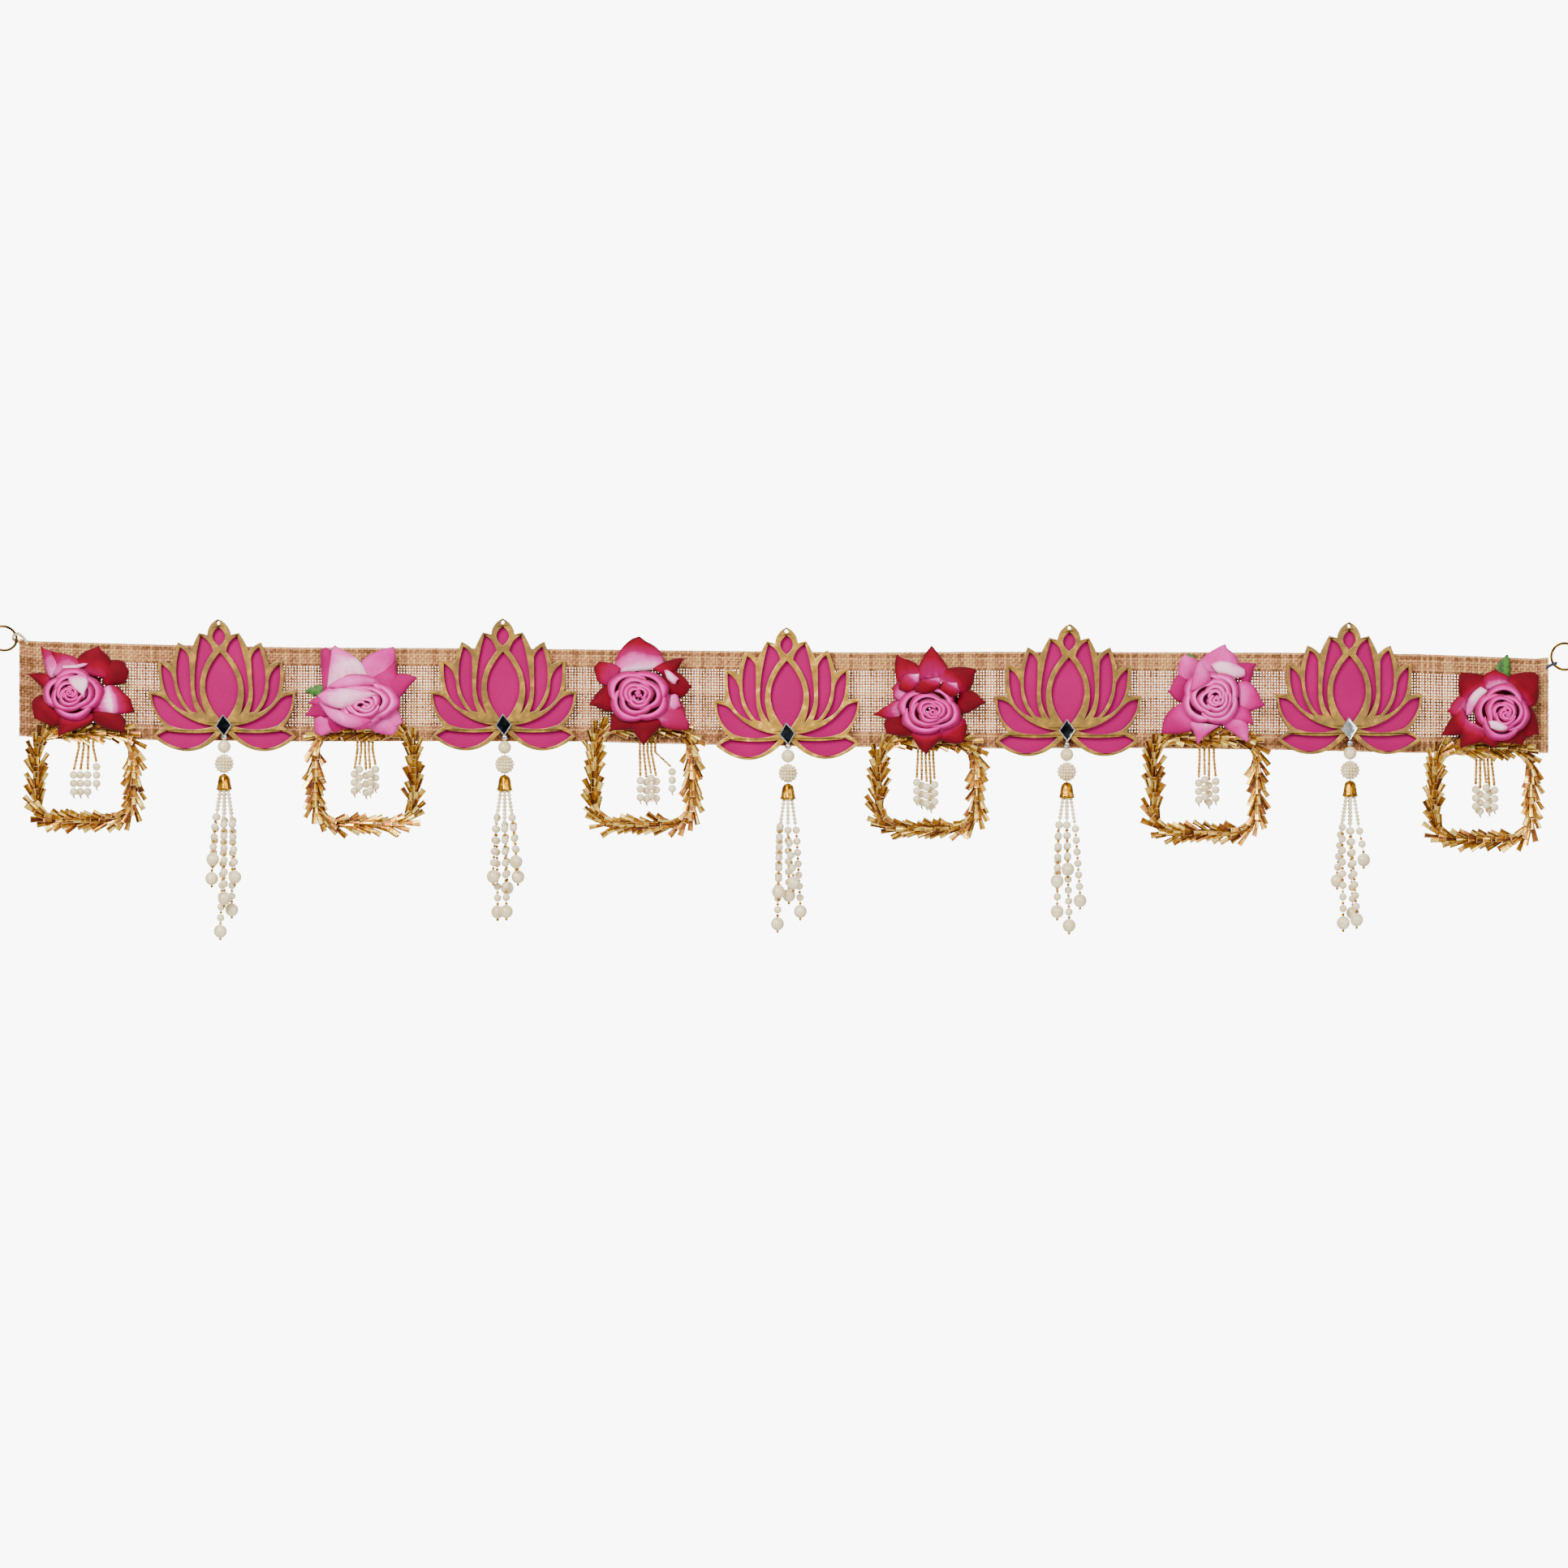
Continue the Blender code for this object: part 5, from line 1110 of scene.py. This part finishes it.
    def rolled_petals(self, bloom, seed):
        """Rings of petals rolled round the heart, each lip turned out and each end tucked in."""
        middle_x, middle_z, half_width, half_height, heart_x, heart_z = bloom
        pick = random.Random(seed + 50)
        points, faces, tones = [], [], []
        twist = pick.uniform(0.0, 6.28)
        for order, (edge, crest, edge_y, crest_y, count, lip_dye_and_shade) in enumerate(BLOOM_RINGS):
            towards = order / (len(BLOOM_RINGS) - 1)
            centre_x = middle_x + towards * (heart_x - middle_x)
            centre_z = middle_z + towards * (heart_z - middle_z)
            for petal in range(count):
                middle = twist + 2.4 * order + 2 * math.pi * petal / count
                span = math.pi / count * 1.42
                wave, lean = pick.uniform(0, 6), pick.uniform(-0.03, 0.05)
                peak = pick.uniform(-0.4, 0.5)
                start = len(points)
                for column in range(25):
                    a = column / 12 - 1
                    angle = middle + a * span
                    full = max(0.05, 1 - abs(a) ** 3.5)
                    point = 0.22 * math.exp(-((a - peak) / 0.16) ** 2)
                    band = (edge - crest) * (full + point)
                    drop = (edge_y - crest_y) * (full + 0.5 * point)
                    near = crest * (1 + 0.07 * math.cos(3 * a * span)) - 0.03
                    near += 0.05 * a + lean + 0.02 * math.sin(3 * a + wave)
                    # tones across a roll: the lip's dye with painted shade, a painted highlight on the crest,
                    # then painted shade down the inner wall into the fold
                    for share, depth, tone in (
                            (near + band, crest_y + drop, lip_dye_and_shade),
                            (near + 0.72 * band, crest_y + 0.5 * drop, lip_dye_and_shade + 0.1),
                            (near + 0.38 * band, crest_y + 0.14 * drop, 0.78),
                            (near + 0.1 * band, crest_y, 0.98), (near - 0.01, crest_y + 0.35, 0.9),
                            (near - 0.03, crest_y + 1.4, 0.42), (near - 0.045, crest_y + 3.2, 0.12),
                            (near - 0.055, crest_y + 6.0, 0.0)):
                        points.append((centre_x + half_width * share * math.cos(angle),
                                       min(BLOOM_FLOOR, depth + 0.5 * a),
                                       centre_z + half_height * share * math.sin(angle)))
                        tones.append(tone)
                add_grid_faces(faces, start, 25, 8)
        return sheet_piece("bloom", points, faces, tone=tones)

    def leaf(self, x, z, long, wide, lean):
        """A pointed leaf with a fold along its middle and rows of little creases."""
        points, faces = [], []
        for row in range(15):
            v = row / 14
            half = wide / 2 * math.sin(math.pi * max(0.02, min(0.98, v))) ** 0.8
            for column in range(7):
                u = column / 3 - 1
                crease = 0.15 * math.cos(9 * v * math.pi + 3 * abs(u))
                points.append((u * half, LEAF_DEPTH - 0.5 * (1 - abs(u)) - crease, -long * v))
        add_grid_faces(faces, 0, 15, 7)
        leaf = sheet_piece("leaf", points, faces)
        leaf.rotation_euler = (0, math.radians(lean), 0)
        leaf.location = (x * MM, 0, z * MM)
        self.thicken(leaf, LEAF_THICK * MM)
        return leaf


def side_at(side, share):
    """A point on a petal's side of three places, on one smooth bow through them."""
    first, middle, last = side
    pull = 2 * middle - 0.5 * (first + last)
    pull = middle.lerp(pull, 0.7)
    return (1 - share) ** 2 * first + 2 * share * (1 - share) * pull + share ** 2 * last


def add_grid_faces(faces, start, rows, columns):
    """Faces of a grid of points that was added row by row."""
    for row in range(rows - 1):
        for column in range(columns - 1):
            corner = start + row * columns + column
            faces.append([corner, corner + 1, corner + columns + 1, corner + columns])


def square_point(distance, width, height):
    """A point and outward direction on a rounded square, clockwise from its top left."""
    straight_x = width - 2 * FOIL_CORNER
    straight_z = height - 2 * FOIL_CORNER
    bend = FOIL_CORNER * math.pi / 2
    distance %= 2 * (straight_x + straight_z) + 4 * bend
    for quarter in range(4):
        straight = straight_x if quarter % 2 == 0 else straight_z
        across = (straight_x if quarter % 2 else straight_z) / 2 + FOIL_CORNER
        facing = math.radians(90 - 90 * quarter)
        out_x, out_z = math.cos(facing), math.sin(facing)
        if distance <= straight:
            along = distance - straight / 2
            return out_x * across + out_z * along, out_z * across - out_x * along, out_x, out_z
        distance -= straight
        if distance <= bend:
            turn = facing - distance / FOIL_CORNER
            centre_x = out_x * (across - FOIL_CORNER) + out_z * straight / 2
            centre_z = out_z * (across - FOIL_CORNER) - out_x * straight / 2
            out_x, out_z = math.cos(turn), math.sin(turn)
            return centre_x + FOIL_CORNER * out_x, centre_z + FOIL_CORNER * out_z, out_x, out_z
        distance -= bend
    return square_point(0.0, width, height)


class TORAN_OT_foils(bpy.types.Operator):
    """Fold foil leaves and sew them in three overlapping rows round each square"""
    bl_idname = "toran.foils"
    bl_label = "Fold Foil"

    def execute(self, context):
        foil = context.scene.toran_foil
        # metal foil on cloth: facets of painted light and shade, from deep brown folds of painted shade
        # to painted highlights, and pale cut edges
        gold = finish_of(
            "folded gold foil",
            ((0.0, foil.brown), (0.3, "#84480A"), (0.55, foil.gold), (0.8, "#FFE06A"), (1.0, foil.edge)),
            3.0, 1.6, {"Metallic": 0.75, "Roughness": 0.28}, "tone", 0.2)
        for number, (x, z, outer_width, outer_height, way) in enumerate(FOILS, 1):
            pick = random.Random(number * 11)
            width, height = outer_width - FOIL_WIDE, outer_height - FOIL_WIDE
            around = 2 * (width + height) - 8 * FOIL_CORNER + 2 * math.pi * FOIL_CORNER
            points, faces, tones = [], [], []
            self.tape(points, faces, tones, x, z, width, height, around)
            for step in range(foil.leaves):
                for side in (-1, 0, 1):
                    place = step + 0.33 * side + pick.uniform(-0.3, 0.3)
                    root_x, root_z, out_x, out_z = square_point(
                        way * around * place / foil.leaves, width, height)
                    spread = math.radians(pick.uniform(14.0, 36.0))
                    ahead = Vector((way * out_z, -way * out_x))
                    out = side * Vector((out_x, out_z))
                    along = ahead * math.cos(spread) + math.sin(spread) * out
                    base = Vector((x + root_x, z + root_z)) + 1.3 * out
                    self.leaf(points, faces, tones, base, along, foil, pick)
            obj = sheet_piece("foil", points, faces, tone=tones)
            wall = obj.modifiers.new("foil", "SOLIDIFY")
            wall.thickness = FOIL_THICK * MM
            finish_piece(obj, f"foil_square_{number}", "gold foil leaves", [gold], f"foil_{number}")
        return {"FINISHED"}

    def tape(self, points, faces, tones, x, z, width, height, around):
        """The narrow tape that carries the leaves."""
        start = len(points)
        for step in range(TAPE_STEPS):
            px, pz, out_x, out_z = square_point(around * step / TAPE_STEPS, width, height)
            for side in (-TAPE_HALF, TAPE_HALF):
                points.append((x + px + side * out_x, FOIL_BACK, z + pz + side * out_z))
        for step in range(TAPE_STEPS):
            low, high = start + 2 * step, start + 2 * ((step + 1) % TAPE_STEPS)
            faces.append([low, high, high + 1, low + 1])
            # the tape takes the deep brown of painted shade, dark in the gaps between the leaves
            tones.append(0.05)

    def leaf(self, points, faces, tones, base, along, foil, pick):
        """One folded leaf: three facets each of a random painted brightness, from painted shade to painted
        highlight, a root row of painted shade, and pale cut edges.
        """
        long = foil.leaf_length / MM * pick.uniform(0.8, 1.08)
        wide = foil.leaf_width / MM * pick.uniform(0.75, 1.1)
        across = Vector((-along.y, along.x))
        rise, tilt = pick.uniform(0.7, 2.0), pick.uniform(-1.0, 1.0)
        ridge = pick.uniform(-0.25, 0.25)
        # each facet gets a random painted brightness, anywhere from painted shade to a painted highlight
        facets = [pick.choice((0.08, 0.3, 0.45, 0.55, 0.66, 0.8)) for _ in range(3)]
        section = ((-0.5, 0.0), (-0.42, 0.25), (ridge - 0.14, 0.8), (ridge + 0.16, 0.65),
                   (0.42, 0.2), (0.5, 0.0))
        start = len(points)
        for v in (0.0, 0.5, 0.95, 1.0):
            half = wide * (0.6 + 0.4 * v)
            for place, high in section:
                spot = base + along * long * v + across * half * place
                depth = FOIL_BACK - 0.2 - rise * v - 1.1 * high - tilt * place
                points.append((spot.x, depth, spot.y))
        # painted shade darkens the root row; the last row is the pale cut end
        for row, shade in ((0, -0.25), (1, 0.0), (2, 1.0)):
            for column, tone in enumerate([0.95] + facets + [0.95]):
                corner = start + row * 6 + column
                faces.append([corner, corner + 1, corner + 7, corner + 6])
                tones.append(max(0.0, min(1.0, tone + shade)))


class TORAN_OT_stage(bpy.types.Operator):
    """Set the camera, the soft light and the pale floor"""
    bl_idname = "toran.stage"
    bl_label = "Set Stage"

    def execute(self, context):
        stage = context.scene.toran_stage
        camera = bpy.data.objects.new("camera", bpy.data.cameras.new("camera"))
        camera.location = (0, -stage.distance, stage.height)
        camera.rotation_euler = (math.radians(90), 0, 0)
        camera.data.sensor_width = 36.0
        camera.data.lens = 36.0 * stage.distance / stage.width
        context.scene.collection.objects.link(camera)
        context.scene.camera = camera
        for name, place, size, power in LIGHTS:
            light = bpy.data.objects.new(name, bpy.data.lights.new(name, "AREA"))
            light.data.size = size
            light.data.energy = power
            light.location = place
            aim = Vector((0, 0, stage.height)) - Vector(place)
            light.rotation_euler = aim.to_track_quat("-Z", "Y").to_euler()
            context.scene.collection.objects.link(light)
        self.world(context)
        bpy.ops.object.select_all(action="DESELECT")
        bpy.ops.mesh.primitive_circle_add(vertices=96, radius=1.2, fill_type="NGON",
                                          location=(0, 0, stage.floor))
        floor = bpy.context.object
        floor.name = "floor"
        # matt pale floor, with the faintest mottling
        floor.data.materials.append(finish_of("pale floor", ((0.0, "#DCDBD8"), (1.0, stage.pale)), 60.0, 5.0,
                                              {"Roughness": 0.9}))
        return {"FINISHED"}

    def world(self, context):
        """White behind the hanging, and a softer white as light on it."""
        world = bpy.data.worlds.new("studio")
        world.use_nodes = True
        context.scene.world = world
        tree = world.node_tree
        tree.nodes.clear()
        seen = add_node(tree, "ShaderNodeBackground", {"Color": (1, 1, 1, 1), "Strength": WHITE_SEEN})
        lit = add_node(tree, "ShaderNodeBackground", {"Color": (1, 1, 1, 1), "Strength": WHITE_LIT})
        ray = add_node(tree, "ShaderNodeLightPath").outputs["Is Camera Ray"]
        mix = add_node(tree, "ShaderNodeMixShader", {0: ray, 1: lit.outputs[0], 2: seen.outputs[0]})
        add_node(tree, "ShaderNodeOutputWorld", {"Surface": mix.outputs[0]})


class TORAN_PT_panel(bpy.types.Panel):
    """The pieces of the hanging, in the order in which they are made"""
    bl_label = "Toran"
    bl_idname = "TORAN_PT_panel"
    bl_space_type = "VIEW_3D"
    bl_region_type = "UI"
    bl_category = "Toran"

    def draw(self, context):
        for settings, operators in PANEL_ROWS:
            box = self.layout.box()
            group = getattr(context.scene, settings)
            for name in group.bl_rna.properties.keys():
                if name not in ("rna_type", "name"):
                    box.prop(group, name)
            for operator in operators:
                box.operator(operator)


SETTINGS = (
    ("toran_jute", JuteSettings), ("toran_lotus", LotusSettings), ("toran_beads", BeadSettings),
    ("toran_roses", RoseSettings), ("toran_foil", FoilSettings), ("toran_stage", StageSettings),
)
OPERATORS = (
    TORAN_OT_jute, TORAN_OT_rings, TORAN_OT_lotuses, TORAN_OT_tassels, TORAN_OT_sprays,
    TORAN_OT_roses, TORAN_OT_foils, TORAN_OT_stage,
)
PANEL_ROWS = (
    ("toran_jute", ("toran.jute", "toran.rings")), ("toran_lotus", ("toran.lotuses",)),
    ("toran_beads", ("toran.tassels", "toran.sprays")), ("toran_roses", ("toran.roses",)),
    ("toran_foil", ("toran.foils",)), ("toran_stage", ("toran.stage",)),
)


def register():
    for name, group in SETTINGS:
        bpy.utils.register_class(group)
        setattr(bpy.types.Scene, name, PointerProperty(type=group))
    for operator in OPERATORS:
        bpy.utils.register_class(operator)
    bpy.utils.register_class(TORAN_PT_panel)


def unregister():
    bpy.utils.unregister_class(TORAN_PT_panel)
    for operator in reversed(OPERATORS):
        bpy.utils.unregister_class(operator)
    for name, group in reversed(SETTINGS):
        delattr(bpy.types.Scene, name)
        bpy.utils.unregister_class(group)


def main():
    register()
    bpy.ops.object.select_all(action="DESELECT")
    bpy.ops.toran.jute()
    bpy.ops.toran.rings()
    bpy.ops.toran.lotuses()
    bpy.ops.toran.tassels()
    bpy.ops.toran.sprays()
    bpy.ops.toran.roses()
    bpy.ops.toran.foils()
    bpy.ops.toran.stage()


if __name__ == "__main__":
    main()
